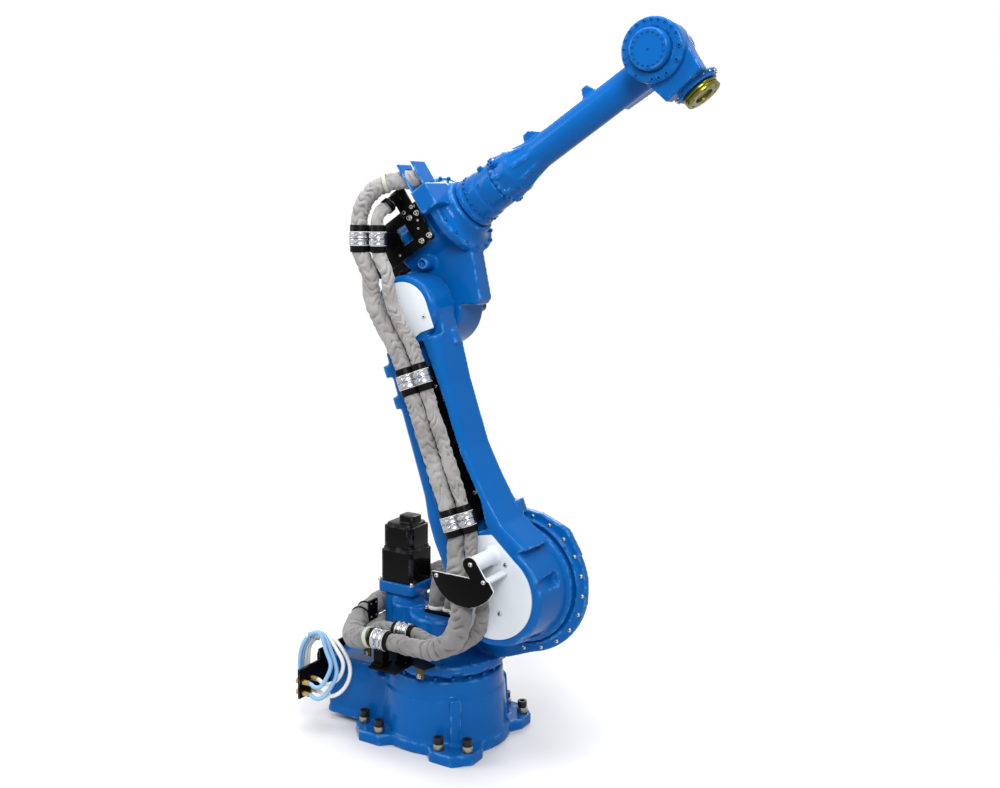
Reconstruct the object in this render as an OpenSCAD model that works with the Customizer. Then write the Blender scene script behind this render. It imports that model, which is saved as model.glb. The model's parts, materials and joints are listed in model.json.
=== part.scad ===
// Six-axis industrial robot arm on a cast floor base, with side-mounted cable hoses.
// Millimetres. +Z is up, +X is the way the arm reaches, the hoses run on the -Y side.
// The origin is on the floor, on the turning axis of the base.

/* [Reach] */
// Height of the lower-arm axis above the floor
shoulder_z = 650; // [620:5:700]
// Distance of the lower-arm axis in front of the turning axis
shoulder_x = 325; // [310:5:345]
// Lower arm length between its two axes
arm_len = 1060; // [1020:10:1120]
// Distance of the forearm axis from the elbow axis
elbow_offset = 225; // [220:5:245]
// Length from the elbow axis to the wrist axis, along the forearm
forearm_len = 1245; // [1200:5:1300]
// Distance from the wrist axis to the tool face
wrist_len = 187; // [182:1:200]

/* [Resting pose] */
// Backward lean of the lower arm
lean = 21; // [15:0.5:25]
// Rise of the forearm above level
rise = 33.7; // [28:0.1:38]
// Drop of the tool direction below level
tool_drop = 49; // [40:1:60]

/* [Base] */
// Height of the top of the base casting
base_h = 272; // [262:2:282]
// Thickness of the bolted foot plate
foot_t = 42; // [36:1:48]
// Radius of the upper rim of the base
base_r = 252; // [245:1:260]
// Diameter of the anchor bolt holes
anchor_hole_d = 27; // [25:1:30]
// Diameter of the anchor bolt heads
anchor_head_d = 36; // [32:1:38]

/* [Joints] */
// Running gap between two castings that turn on each other
gap = 6; // [5.5:0.5:8]
// Clearance where a bearing ring seats a turning casting
seat = 0.3; // [0.2:0.1:0.5]
// Radius of the big upright flange at the lower-arm axis
shoulder_r = 270; // [262:1:276]
// Radius of the bolt circle on that flange
shoulder_bolt_r = 254; // [246:1:256]
// Outer face of the lower arm, measured from the middle plane
arm_face = 201; // [195:1:206]
// Inner face of the lower arm, measured from the middle plane
arm_back = 62; // [60:1:66]

/* [Forearm] */
// Radius of the bell flange that carries the turning forearm
bell_r = 160; // [154:1:162]
// Radius of the forearm drum behind the taper
drum_r = 94; // [90:1:98]
// Radius of the slim forearm tube
tube_r = 57; // [54:1:58]
// Radius of the round wrist housing
wrist_r = 106; // [102:1:108]

/* [Tool flange] */
// Diameter of the tool flange
flange_d = 125; // [122:1:128]
// Diameter of the tool bolt circle
tool_bolt_circle = 100; // [98:1:102]
// Diameter of the tool pilot bore
pilot_d = 63; // [60:1:64]
// Diameter of the tool bolt holes
tool_hole_d = 8.5; // [8:0.5:9]

/* [Hoses] */
// Diameter of the large cable hose
hose_d = 62; // [56:1:64]
// Diameter of the small cable hose
slim_d = 46; // [42:1:48]
// Diameter of the air tubes at the base
air_d = 16; // [12:1:18]

/* [Hidden] */
$fn = 64;
lap = 0.1;
rim_gap = 28;
table_z = base_h + rim_gap;
table_top = table_z + 38;
arm_in = arm_back;
drawn_r = 252;
// A corner of the foot as drawn for the drawn radius, kept at its distance from the pedestal
function from_rim(p) = p * (norm(p) + base_r - drawn_r) / norm(p);
foot_bolts = [from_rim([230, 208]), from_rim([133, 250])];
foot_edge = [base_r - 26, base_r - 4];
foot_lobe = [base_r + 10, base_r + 30];
table_r = base_r - 14;
hose_run_z = table_top + 102;
slim_run_z = table_top + 128;
motor_at = [-196, 28];
motor_side = 146;
mount_top = 555;
hose_top = table_top + 132;
loop_r = hose_d / 2 + 8;
slim_loop_r = slim_d / 2 + 2;
flange_t = 30;
gear_end = 140;
tool_face = wrist_len;
drum_x = 355;
bell_x = drum_x - gap;

// Frames: each one carries the piece after it, as the joints do.
module at_shoulder() {
    translate([shoulder_x, 0, shoulder_z]) rotate([0, -lean, 0]) children();
}
module at_elbow() {
    at_shoulder() translate([0, 0, arm_len]) rotate([0, lean - rise, 0]) children();
}
module at_forearm() {
    at_elbow() translate([0, 0, elbow_offset]) children();
}
module at_wrist() {
    at_forearm() translate([forearm_len, 0, 0]) rotate([0, rise + tool_drop, 0]) children();
}

// Shapes that several pieces share.
module plate_y(y0, y1) {
    translate([0, y1, 0]) rotate([90, 0, 0]) linear_extrude(y1 - y0) children();
}
module disc_y(r, y0, y1) {
    plate_y(y0, y1) circle(r);
}
module rod_x(r, x0, x1) {
    translate([x0, 0, 0]) rotate([0, 90, 0]) cylinder(r = r, h = x1 - x0);
}
module cone_x(r0, r1, x0, x1) {
    translate([x0, 0, 0]) rotate([0, 90, 0]) cylinder(r1 = r0, r2 = r1, h = x1 - x0);
}
// A profile of radius against distance, turned about the Y axis (towards -Y) or the X axis.
module turned_y() {
    rotate([90, 0, 0]) rotate_extrude() children();
}
module turned_x() {
    rotate([0, 90, 0]) rotate_extrude() children();
}
function arc(c, r, a0, a1, n = 6) = [for (i = [0:n]) let(a = a0 + (a1 - a0) * i / n)
    [c[0] + r * cos(a), c[1] + r * sin(a)]];
module box(x, y, z) {
    translate([x[0], y[0], z[0]]) cube([x[1] - x[0], y[1] - y[0], z[1] - z[0]]);
}
module bar2(p, q, r) {
    d = q - p;
    translate(p) circle(r);
    translate(q) circle(r);
    translate(p) rotate(atan2(d[1], d[0])) translate([0, lap - r]) square([norm(d), 2 * (r - lap)]);
}
module round_rect(w, h, r) {
    for (sx = [-1, 1], sy = [-1, 1]) translate([sx * (w / 2 - r), sy * (h / 2 - r)]) circle(r);
    square([w - 2 * r, h], center = true);
    square([w, h - 2 * r], center = true);
}
module four_corners() {
    for (mx = [0, 1], my = [0, 1]) mirror([mx, 0, 0]) mirror([0, my, 0]) children();
}
function unit(v) = v / norm(v);
function ring(p, t, u, r, n) = let(w = unit(cross(u, t)))
    [for (i = [0:n - 1]) p + r * (cos(360 * i / n) * u + sin(360 * i / n) * w)];
// Side directions carried along a route, so that its rings don't twist.
function carried(tangents, i = 0, u = [0.3, 1, 0.2]) =
    let(t = tangents[i], v = unit(u - t * (u * t) / (t * t)))
    i == len(tangents) - 1 ? [v] : concat([v], carried(tangents, i + 1, v));
function along(p, i) = p[min(i + 1, len(p) - 1)] - p[max(i - 1, 0)];
// Points of the arm's own frames, and a point part of the way between two others.
function arm_point(x, y, z) = [shoulder_x + x * cos(lean) - z * sin(lean), y,
    shoulder_z + x * sin(lean) + z * cos(lean)];
function elbow_point(x, y, z) = arm_point(0, 0, arm_len) + [x * cos(rise) - z * sin(rise), y,
    x * sin(rise) + z * cos(rise)];
function between(a, b, t, off) = a + (b - a) * t + off;
// A flexible hose along its route: one ring of corners at each route point, of one radius or a list.
module hose(route, r, n = 12, first = undef, last = undef) {
    m = len(route);
    tangents = [for (i = [0:m - 1]) i == 0 && !is_undef(first) ? first
        : i == m - 1 && !is_undef(last) ? last : along(route, i)];
    across = carried(tangents);
    rings = [for (i = [0:m - 1]) ring(route[i], tangents[i], across[i], is_list(r) ? r[i] : r, n)];
    points = [for (k = rings) for (p = k) p];
    sides = [for (i = [0:m - 2]) for (j = [0:n - 1]) let(a = i * n + j, b = i * n + (j + 1) % n)
        each [[a, b, b + n], [a, b + n, a + n]]];
    start = [[for (j = [n - 1:-1:0]) j]];
    finish = [[for (j = [0:n - 1]) (m - 1) * n + j]];
    polyhedron(points, concat(sides, start, finish));
}

// Base
module foot_outline() {
    four_corners() {
        polygon([[-1, -1], [-1, foot_edge[1]], [foot_bolts[1][0] - 50, foot_edge[1]],
            [foot_bolts[1][0] - 22, foot_lobe[1]], [foot_bolts[0][0] - 26, foot_lobe[1]],
            [foot_lobe[0], foot_bolts[0][1] + 14], [foot_lobe[0], foot_bolts[0][1] - 58],
            [foot_edge[0], foot_bolts[0][1] - 124], [foot_edge[0], -1]]);
        for (p = foot_bolts) translate(p) circle(31);
    }
}
module pedestal() {
    rotate_extrude() polygon(concat([[0, 1], [base_r + 6, 1]],
        arc([base_r + 6, foot_t + 14], 14, 270, 184), [[base_r - 18, base_h - 70],
        [base_r - 23, base_h - 64]], arc([base_r - 34, base_h - 8], 8, 0, 90), [[0, base_h]]));
}
rib_angles = [-149, -48, 48, 149];
rib_top = base_h - 56;
module base_casting() {
    color("royalblue") difference() {
        union() {
            linear_extrude(foot_t) foot_outline();
            pedestal();
            translate([0, 0, base_h - 1]) cylinder(r = base_r - 54, h = rim_gap - seat + 1);
            for (a = rib_angles) rotate(a) plate_y(-22, 22)
                polygon([[base_r - 62, foot_t - 5], [base_r + 8, foot_t - 5], [base_r + 8, foot_t + 8],
                    [base_r - 6, rib_top - 12], [base_r - 20, rib_top], [base_r - 62, rib_top]]);
            translate([-310, 0, 26]) linear_extrude(base_h - 34) round_rect(240, 360, 18);
            translate([-180, 0, foot_t - 5]) linear_extrude(base_h - foot_t - 40)
                round_rect(124, 364, 14);
            translate([-310, 0, 26]) linear_extrude(22) round_rect(252, 368, 24);
        }
        four_corners() for (p = foot_bolts) translate([p[0], p[1], -1])
            cylinder(d = anchor_hole_d, h = foot_t + 2);
        four_corners() translate([foot_bolts[0][0] - 46, foot_bolts[0][1] + 30, -1])
            cylinder(d = 13, h = foot_t + 2);
    }
}
module anchor_spacers() {
    color("darkkhaki") four_corners() for (p = foot_bolts) translate([p[0], p[1], foot_t])
        difference() {
            cylinder(d = anchor_head_d + 6, h = 24);
            translate([0, 0, -1]) cylinder(d = anchor_hole_d - 2, h = 26);
        }
}
module anchor_bolts() {
    color("dimgray") four_corners() for (p = foot_bolts) translate([p[0], p[1], 0]) difference() {
        union() {
            translate([0, 0, foot_t + 24]) cylinder(d = anchor_head_d, h = 24);
            cylinder(d = anchor_hole_d - 3, h = foot_t + 24);
        }
        translate([0, 0, foot_t + 36]) cylinder(d = 22, h = 14, $fn = 6);
    }
}
panel_z = 253;
module connector_plate() {
    color("black") difference() {
        union() {
            box([-438, -430], [-358, 20], [136, panel_z]);
            box([-438, -430], [-231, 20], [panel_z - 1, panel_z + 43]);
        }
        for (z = [180, 244]) translate([-440, -60, z]) rotate([0, 90, 0]) cylinder(d = 34, h = 12);
    }
}
module connector_box() {
    color("black") translate([-492, 0, 0]) rotate([0, 90, 0]) linear_extrude(54)
        translate([-200, -96]) round_rect(110, 150, 12);
}
fitting_at = [[-338, 200], [-288, 201], [-338, 156], [-288, 155]];
module brass_fittings() {
    color("goldenrod") for (p = fitting_at) translate([0, p[0], p[1]]) {
        translate([-430, 0, 0]) rotate([0, 90, 0]) cylinder(d = 24, h = 12, $fn = 6);
        rod_x(10, -418, -398);
        translate([-456, 0, 0]) rotate([0, 90, 0]) cylinder(d = 24, h = 18, $fn = 6);
    }
}
module air_tube(from, x, side, top) {
    y = from[0];
    z = from[1];
    hose([[-398, y, z], [-352, y + 2, z - 18], [x - 28, y + 26, z + 8], [x, side, z + 80],
        [x - 24, side, 310], [-376, side, top], [-430, side, top - 20], [-472, side, 300],
        [-480, side, 180]], air_d / 2, 8, [1, 0, 0]);
}
module blue_air_tubes() {
    color("dodgerblue") {
        air_tube(fitting_at[0], -318, -296, 392);
        air_tube(fitting_at[2], -308, -278, 384);
    }
}
module white_air_tubes() {
    color("white") {
        air_tube(fitting_at[1], -288, -260, 376);
        air_tube(fitting_at[3], -272, -241, 368);
    }
}

// Turntable
module table_outline() {
    circle(table_r);
    for (a = [-112, -84, -50, 50, 84, 112, 180]) rotate(a) translate([table_r - 46, 0]) circle(62);
}
module upright_outline() {
    circle(shoulder_r);
    polygon([[74, shoulder_r - 5], [161, shoulder_r - 40], [191, shoulder_r - 54], [243, 130], [100, 60]]);
    polygon([[table_r - shoulder_x - 6, table_top - 8 - shoulder_z], [-42, -305], [84, -shoulder_r + 16],
        [0, 0], [-240, -60], [72 - shoulder_x, table_top - 8 - shoulder_z]]);
}
module rear_web() {
    polygon([[60 - shoulder_x, table_top - 8 - shoulder_z], [-130, table_top - 8 - shoulder_z], [-86, -300],
        [30, -200], [0, 0], [-220, -60]]);
}
tower_r = 138;
module motor_mount() {
    translate([motor_at[0], motor_at[1], 0]) {
        translate([0, 0, mount_top - 44]) linear_extrude(44)
            round_rect(motor_side + 20, motor_side + 20, 20);
        translate([0, 0, table_top - 4]) linear_extrude(mount_top - table_top - 30)
            round_rect(motor_side - 12, motor_side - 12, 26);
        translate([40, -40, table_top - 4]) cylinder(r = 66, h = mount_top - table_top - 70);
        translate([0, -motor_side / 2 + 7, mount_top - 74]) rotate([90, 0, 0]) cylinder(d = 34, h = 8);
    }
}
module turntable_casting() {
    color("royalblue") difference() {
        union() {
            translate([0, 0, table_z]) linear_extrude(table_top - table_z) table_outline();
            rotate_extrude() polygon(concat([[0, table_top - 2], [186, table_top - 2]],
                arc([186, table_top + 42], 44, 270, 190), [[tower_r - 1, table_top + 70]],
                arc([tower_r - 14, hose_top - 12], 12, 0, 90), [[0, hose_top]]));
            motor_mount();
            translate([shoulder_x, 0, shoulder_z]) {
                plate_y(0, flange_t) upright_outline();
                disc_y(150, seat - gap, 1);
                difference() {
                    disc_y(242, -10, 1);
                    disc_y(231, -11, 2);
                }
                turned_y() polygon([[0, -gear_end], [196, -gear_end], [210, -gear_end + 14],
                    [222, -flange_t + 1], [0, -flange_t + 1]]);
                plate_y(flange_t - 1, gear_end) rear_web();
            }
        }
        for (a = [0:30:330]) rotate(a + 15) translate([base_r + 8, 0, table_z - 1])
            cylinder(r = 30, h = 15);
    }
}
module servo(side, length) {
    linear_extrude(length - 12) round_rect(side, side, 14);
    translate([0, 0, length - 13]) linear_extrude(13) round_rect(side - 8, side - 8, 20);
}
module servo_cap(side, height) {
    linear_extrude(height) round_rect(side - 10, side - 10, 24);
    translate([0, 0, height - 1]) linear_extrude(11) round_rect(side - 26, side - 26, 24);
    translate([side / 8, 0, height + 9]) linear_extrude(30) round_rect(side / 2, side / 2 - 10, 14);
}
module turning_motor() {
    color("black") translate([motor_at[0], motor_at[1], mount_top]) servo(motor_side, 138);
}
module turning_motor_cap() {
    color("black") translate([motor_at[0], motor_at[1], mount_top + 138])
        servo_cap(motor_side, 84);
}
module at_shoulder_motor() {
    translate([shoulder_x, gear_end, shoulder_z]) rotate([-90, 0, 0]) children();
}
module shoulder_motor() {
    color("black") at_shoulder_motor() servo(150, 140);
}
module shoulder_motor_cap() {
    color("black") at_shoulder_motor() translate([0, 0, 140]) servo_cap(150, 60);
}
module centre_clamp() {
    color("black") translate([0, 0, hose_top]) difference() {
        translate([5, -18, 0]) linear_extrude(14) round_rect(126, 84, 10);
        translate([-22, -18, -1]) cylinder(d = hose_d + 1, h = 16);
        translate([36, -18, -1]) cylinder(d = slim_d + 1, h = 16);
    }
}
// The hose bracket: a bar across the table's edge on two angles, with a shelf for the clamps
table_scale = table_r / (drawn_r - 14);
bracket_at = table_scale * [-84, -211, 0];
bracket_turn = -15;
angle_x = table_scale * [-152, 152];
bar_x = table_scale * [-176, 176];
module at_bracket() {
    translate(bracket_at) rotate(bracket_turn) children();
}
module hose_bracket_feet() {
    color("olive") at_bracket() for (x = angle_x)
        box([x - 19, x + 19], [-16, -8], [table_z - 2, table_top]);
}
module hose_bracket_plate() {
    color("black") {
        at_bracket() box(bar_x, [-16, 40], [table_top, table_top + 8]);
        box([-100, 20], [-366, -196], [table_top, table_top + 8]);
    }
}
big_clamp_at = [-70, -325, hose_run_z];
slim_clamp_at = [-11, -262, slim_run_z];
module table_clamp_block(at, d) {
    translate(at) difference() {
        box([-24, 24], [-d / 2 - 8, d / 2 + 8], [table_top + 8 - at[2], d / 2 + 8]);
        rotate([0, 90, 0]) cylinder(d = d + 1, h = 60, center = true);
    }
}
module table_clamp() {
    color("dimgray") {
        table_clamp_block(big_clamp_at, hose_d);
        table_clamp_block(slim_clamp_at, slim_d);
    }
}
// Routes of the hoses round the turning motor, with heights above the turntable
big_table = [[-22, -18, hose_top + 0.3], [-22, -18, table_top + 202], [-34, 40, table_top + 248],
    [-84, 124, table_top + 246], [-156, 180, table_top + 207], [-256, 190, table_top + 152],
    [-322, 110, table_top + 108], [-336, -10, table_top + 86], [-322, -130, table_top + 64],
    [-262, -238, table_top + 54], [-168, -308, table_top + 82], [-110, -325, hose_run_z],
    [-20, -325, hose_run_z]];
slim_table = [[36, -18, hose_top + 0.3], [36, -18, table_top + 182], [34, 52, table_top + 212],
    [0, 130, table_top + 190], [-90, 174, table_top + 132], [-196, 172, table_top + 86],
    [-290, 104, table_top + 50], [-296, 0, table_top + 32], [-266, -110, table_top + 32],
    [-204, -196, table_top + 60], [-130, -250, table_top + 108], [-60, -262, slim_run_z],
    [20, -262, slim_run_z]];
function loop_radii(route, r, loop) = let(m = len(route) - 1)
    [for (i = [0:m]) i < 2 || i > m - 2 ? r : loop];
module table_hoses() {
    color("gray") {
        hose(big_table, loop_radii(big_table, hose_d / 2, loop_r), last = [1, 0, 0]);
        hose(slim_table, loop_radii(slim_table, slim_d / 2, slim_loop_r), last = [1, 0, 0]);
    }
}

// Lower arm, drawn in its own frame: x forward, z along the arm
// Stations along the arm: distance from the lower axis, rear edge and front edge
stations = [[120, -176, 196], [230, -184, 128], [320, -180, 106], [400, -166, 92], [520, -160, 78],
    [arm_len - 300, -149, 86], [arm_len - 120, -141, 106]];
module arm_section(rear, front) {
    polygon(concat([[rear, -arm_in], [rear, 16 - arm_face], [rear + 16, -arm_face]],
        arc([front - 34, 34 - arm_face], 34, 270, 348), [[front + 18, -arm_in]]));
}
module arm_span(a, b) {
    hull() for (s = [a, b]) translate([0, 0, s[0]]) linear_extrude(lap) arm_section(s[1], s[2]);
}
module shoulder_boss() {
    turned_y() polygon(concat([[0, gap], [224, gap], [224, 28], [213, 32], [212, 46],
        [192, arm_face - 16]], arc([178, arm_face - 14], 14, 0, 90), [[0, arm_face]]));
}
module elbow_boss() {
    turned_y() polygon(concat([[0, arm_in - gap + seat], [112, arm_in - gap + seat], [112, arm_in],
        [136, arm_in], [134, arm_in + 30]], arc([110, arm_face - 20], 20, 0, 90), [[0, arm_face]]));
}
module arm_channel() {
    polygon([[-108, 226], [-112, 373], [-104, arm_len - 150], [-70, arm_len - 118], [40, arm_len - 124],
        [50, arm_len - 360], [48, 500], [70, 331], [60, 226]]);
}
scoop_angles = [-139, -71, -3];
module lower_arm_casting() {
    color("royalblue") at_shoulder() difference() {
        union() {
            for (i = [0:len(stations) - 2]) arm_span(stations[i], stations[i + 1]);
            shoulder_boss();
            translate([0, 0, arm_len]) elbow_boss();
            plate_y(-arm_face + 40, -arm_in) polygon([[-130, arm_len - 125], [-131, arm_len],
                [131, arm_len], [112, arm_len - 125]]);
            plate_y(-arm_face + 2, -arm_face + 30)
                polygon([[-176, 130], [-146, 92], [-110, 60], [-60, 130]]);
            for (z = [arm_len - 330, arm_len - 210])
                box([-162, -126], [-arm_face - 2, -arm_face + 40], [z, z + 46]);
            box([60, 122], [-118, -78], [arm_len - 166, arm_len - 114]);
            box([94, 140], [-arm_in - 20, -arm_in + 40], [shoulder_r - 34, shoulder_r + 20]);
        }
        plate_y(-arm_face - 9, floor_y) arm_channel();
        for (a = scoop_angles) rotate([0, -a, 0]) translate([207, 0, 0]) disc_y(25, -arm_face - 1, -74);
    }
}
module cover_outline() {
    circle(161);
    polygon(concat([[-146, 68], [0, 0], [152, 54]], arc([66, 192], 14, 20, 90, 3),
        arc([14, 202], 12, 90, 150, 3)));
}
module shoulder_cover() {
    color("whitesmoke") at_shoulder() plate_y(-arm_face - cover_t, -arm_face) cover_outline();
}
elbow_cover_r = 106;
module elbow_cover() {
    color("whitesmoke") at_shoulder() translate([0, 0, arm_len])
        plate_y(-arm_face - cover_t, -arm_face) {
            circle(elbow_cover_r);
            translate([lap - elbow_cover_r, -96]) square([2 * (elbow_cover_r - lap), 96]);
        }
}
cover_t = 8;
floor_y = -arm_face + 52;
module cable_plate() {
    color("black") at_shoulder() {
        box([-92, 44], [floor_y - 6, floor_y], [262, arm_len - 215]);
    }
}
clamp_x = -52;
clamp_low = 271;
clamp_high = arm_len - 249;
module arm_clamp(z) {
    color("dimgray") at_shoulder() translate([clamp_x, -232, z]) difference() {
        box([-42, 96], [-40, floor_y - 6 + 232], [-22, 22]);
        cylinder(d = hose_d + 1, h = 60, center = true);
        translate([62, 6, 0]) cylinder(d = slim_d + 1, h = 60, center = true);
    }
}
module lower_clamp() {
    arm_clamp(clamp_low + 12);
}
module upper_clamp() {
    arm_clamp(clamp_high);
}
hose_from = 240;
hose_to = arm_len - 200;
slim_x = clamp_x + 62;
big_y = -232;
slim_y = -226;
module straight_hose(x, y, r) {
    hose([for (i = [0:4]) [x, y, hose_from + (hose_to - hose_from) * i / 4]], r);
}
module arm_hoses() {
    color("gray") at_shoulder() {
        straight_hose(clamp_x, big_y, hose_d / 2);
        straight_hose(slim_x, slim_y, slim_d / 2);
    }
}
guide_y = -350;
module guide_outline() {
    intersection() {
        translate([300, 775]) circle(133);
        polygon([[150, 748], [180, 752], [290, 752], [400, 752], [426, 712], [426, 620], [150, 620]]);
    }
    bar2([326, 797], [372, 730], 29);
}
module guide_plate() {
    color("black") plate_y(guide_y - 8, guide_y) guide_outline();
}
module guide_post() {
    color("whitesmoke") translate([330, 0, 795]) turned_y()
        polygon([[0, arm_face + cover_t], [38, arm_face + cover_t], [28, arm_face + cover_t + 16],
            [28, -guide_y], [0, -guide_y]]);
}
module guide_bracket() {
    color("whitesmoke") box([362, 392], [guide_y, -arm_face - cover_t], [736, 746]);
}
arm_dir = [-sin(lean), 0, cos(lean)];
big_low = [[-19.5, -325, hose_run_z], [80, -328, hose_run_z + 2], [170, -332, hose_run_z + 16],
    [242, -332, hose_run_z + 66], [270, -322, shoulder_z - 60], [246, -300, shoulder_z + 50],
    [208, -264, shoulder_z + 140], arm_point(clamp_x, big_y, hose_from - 0.5)];
slim_low = [[20.5, -262, slim_run_z], [120, -262, slim_run_z - 18], [212, -264, slim_run_z - 12],
    [296, -268, slim_run_z + 48], [326, -270, shoulder_z - 44], [304, -262, shoulder_z + 55],
    [262, -246, shoulder_z + 155], arm_point(slim_x, slim_y, hose_from - 0.5)];
module shoulder_hoses() {
    color("gray") {
        hose(big_low, loop_radii(big_low, hose_d / 2, loop_r), first = [1, 0, 0], last = arm_dir);
        hose(slim_low, loop_radii(slim_low, slim_d / 2, slim_loop_r), first = [1, 0, 0],
            last = arm_dir);
    }
}

// Upper arm, drawn in its own frame: x along the forearm, z away from the elbow axis
seat_z = 336;
module front_block() {
    polygon([[-128, 78], [-96, 120], [30, 150], [30, 300], [236, 300], [284, 130], [284, 60], [222, -96],
        [196, -106], [150, -70], [0, -60]]);
}
module rear_block() {
    polygon([[-128, 78], [-96, 120], [30, 150], [30, 290], [190, 290], [226, 110], [226, 60],
        [150, -60], [0, -60]]);
}
module bell() {
    turned_x() polygon(concat([[0, 30], [104, 30], [104, 200]], arc([150, 214], 46, 180, 108, 5),
        [[bell_r - 8, 264], [bell_r, 274], [bell_r, 296], [bell_r - 8, 304]],
        arc([150, bell_x - 6], 42, 262, 188, 5), [[108, bell_x], [76, bell_x], [76, drum_x - seat],
        [0, drum_x - seat]]));
}
module upper_arm_casting() {
    color("royalblue") at_elbow() difference() {
        union() {
            turned_y() polygon([[0, -120], [140, -120], [152, -106], [152, arm_in - gap],
                [0, arm_in - gap]]);
            plate_y(gap - arm_in, 26) front_block();
            plate_y(25, 120) rear_block();
            translate([0, 0, elbow_offset]) bell();
            box([150, 214], [side_y, -60], [190, 300]);
            translate([112, 0, 128]) turned_y()
                polygon([[0, 50], [28, 50], [22, 112], [14, 118], [14, 100], [0, 100]]);
            box([262, 336], [-206, -60], [elbow_offset + 20, seat_z]);
        }
        disc_y(146, -300, gap - arm_in);
    }
}
module roll_motor() {
    color("black") at_forearm() translate([30, 0, 0]) rotate([0, -90, 0]) {
        servo(140, 100);
        translate([0, 0, 100]) servo_cap(140, 30);
    }
}
module elbow_motor() {
    color("black") at_elbow() translate([0, 120, 0]) rotate([-90, 0, 0]) {
        servo(140, 90);
        translate([0, 0, 90]) servo_cap(140, 46);
    }
}
side_y = -128;
module hose_side_plate() {
    color("black") at_elbow() difference() {
        box([0, 222], [side_y - 8, side_y], [172, 326]);
        box([100, 140], [side_y - 9, side_y + 1], [215, 280]);
    }
}
elbow_clamp_at = [38, -235, 288];
module at_elbow_clamp() {
    at_elbow() translate(elbow_clamp_at) rotate([0, rise, 0]) children();
}
module elbow_clamp() {
    color("dimgray") at_elbow_clamp() difference() {
        box([-76, 68], [-36, side_y - 8 - elbow_clamp_at[1]], [-22, 22]);
        translate([-40, 0, 0]) cylinder(d = hose_d + 1, h = 60, center = true);
        translate([40, 0, 0]) cylinder(d = slim_d + 1, h = 60, center = true);
    }
}
module top_frame() {
    color("royalblue") at_elbow() difference() {
        union() {
            box([266, 274], [-206, -118], [seat_z, 452]);
            box([322, 330], [-206, -118], [seat_z, 430]);
        }
        translate([0, -156, 388]) rod_x(41, 260, 280);
    }
}
clamp_up = [sin(rise), 0, cos(rise)];
function clamp_spot(dx, dz) = elbow_clamp_at + [dx * cos(rise) + dz * sin(rise), 0,
    dz * cos(rise) - dx * sin(rise)];
big_top = [clamp_spot(-40, -36), clamp_spot(-40, 40), [46, -231, 378], [92, -222, 415], [150, -205, 434],
    [210, -180, 420], [262, -158, 391], [321.6, -152, 370]];
slim_top = [clamp_spot(40, -36), clamp_spot(40, 36), [102, -230, 322], [118, -214, 346], [142, -186, 358]];
module top_hoses() {
    color("gray") at_elbow() {
        hose(big_top, hose_d / 2, first = clamp_up, last = [1, 0, 0]);
        hose(slim_top, slim_d / 2, first = clamp_up);
    }
}
function world_clamp(dx, dz) = let(p = clamp_spot(dx, dz)) elbow_point(p[0], p[1], p[2]);
module crossing(a, b, r, bulge) {
    hose([a, between(a, b, 0.2, [8, -10, 0]), between(a, b, 0.4, [bulge, -15, 0]),
        between(a, b, 0.6, [bulge, -15, 0]), between(a, b, 0.8, [8 - bulge / 2, -8, 0]), b], r,
        first = arm_dir, last = [0, 0, 1]);
}
module elbow_hoses() {
    color("gray") {
        crossing(arm_point(clamp_x, big_y, hose_to + 0.5), world_clamp(-40, -36.5), hose_d / 2, -26);
        crossing(arm_point(slim_x, slim_y, hose_to + 0.5), world_clamp(40, -36.5), slim_d / 2, -20);
    }
}

// Forearm
flute_angles = [0:45:315];
module forearm_profile() {
    polygon(concat([[0, drum_x], [drum_r, drum_x], [drum_r, drum_x + 18], [drum_r - 5, drum_x + 22],
        [drum_r - 6, 432], [drum_r - 10, 438], [drum_r - 10, 506], [drum_r - 5, 510], [drum_r - 5, 520],
        [drum_r - 14, 524]], arc([tube_r + 220, 676], 220, 208, 180, 6), [[tube_r, forearm_len - 60],
        [0, forearm_len - 60]]));
}
module fin(x, length) {
    plate_y(-24, 24) polygon([[x, tube_r - 12], [x + 14, tube_r + 26], [x + 40, tube_r + 28],
        [x + length, tube_r - 12]]);
}
module forearm_casting() {
    color("royalblue") at_forearm() difference() {
        union() {
            turned_x() forearm_profile();
            for (a = flute_angles) rotate([a, 0, 0]) plate_y(-8, 8)
                polygon([[512, 40], [512, drum_r - 3], [540, drum_r - 6], [690, tube_r - 1], [690, 40]]);
            fin(652, 92);
            fin(920, 60);
            translate([forearm_len, 0, 0]) {
                disc_y(54, 20 + gap, 84);
                disc_y(50, 20 + seat, 21 + gap);
                plate_y(20 + gap, 84) polygon([[-240, -46], [0, -52], [0, 52], [-240, 46]]);
            }
        }
        translate([forearm_len, 0, 0]) difference() {
            disc_y(wrist_r + 10, -200, 20 + gap);
            disc_y(50, 20 + seat, 21 + gap);
        }
    }
}
wrist_side = 149;
neck_y = tube_r + gap;
module wrist_housing() {
    color("royalblue") at_wrist() difference() {
        union() {
            turned_y() polygon(concat([[0, -20], [84, -20], [86, 60], [wrist_r, 84]],
                arc([wrist_r - 10, wrist_side - 10], 10, 0, 90), [[0, wrist_side]]));
            plate_y(-118, -neck_y) polygon([[0, wrist_r - 2], [92, 84], [150, 76], [150, -76], [92, -84],
                [0, 2 - wrist_r]]);
            difference() {
                cone_x(92, 84, 40, 138);
                box([0, 140], [-neck_y, 130], [-130, 130]);
            }
            difference() {
                rod_x(60, 50, 130);
                box([0, 132], [20, 100], [-80, 80]);
                difference() {
                    box([80, 128], [-neck_y, 100], [-90, 90]);
                    rod_x(36, 70, 130);
                }
            }
            rod_x(70, 127, tool_face - 22 - gap);
            rod_x(82, 136, 146);
            rod_x(46, tool_face - 23 - gap, tool_face - 22 - seat);
        }
        disc_y(70, -160, -140);
    }
}
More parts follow.
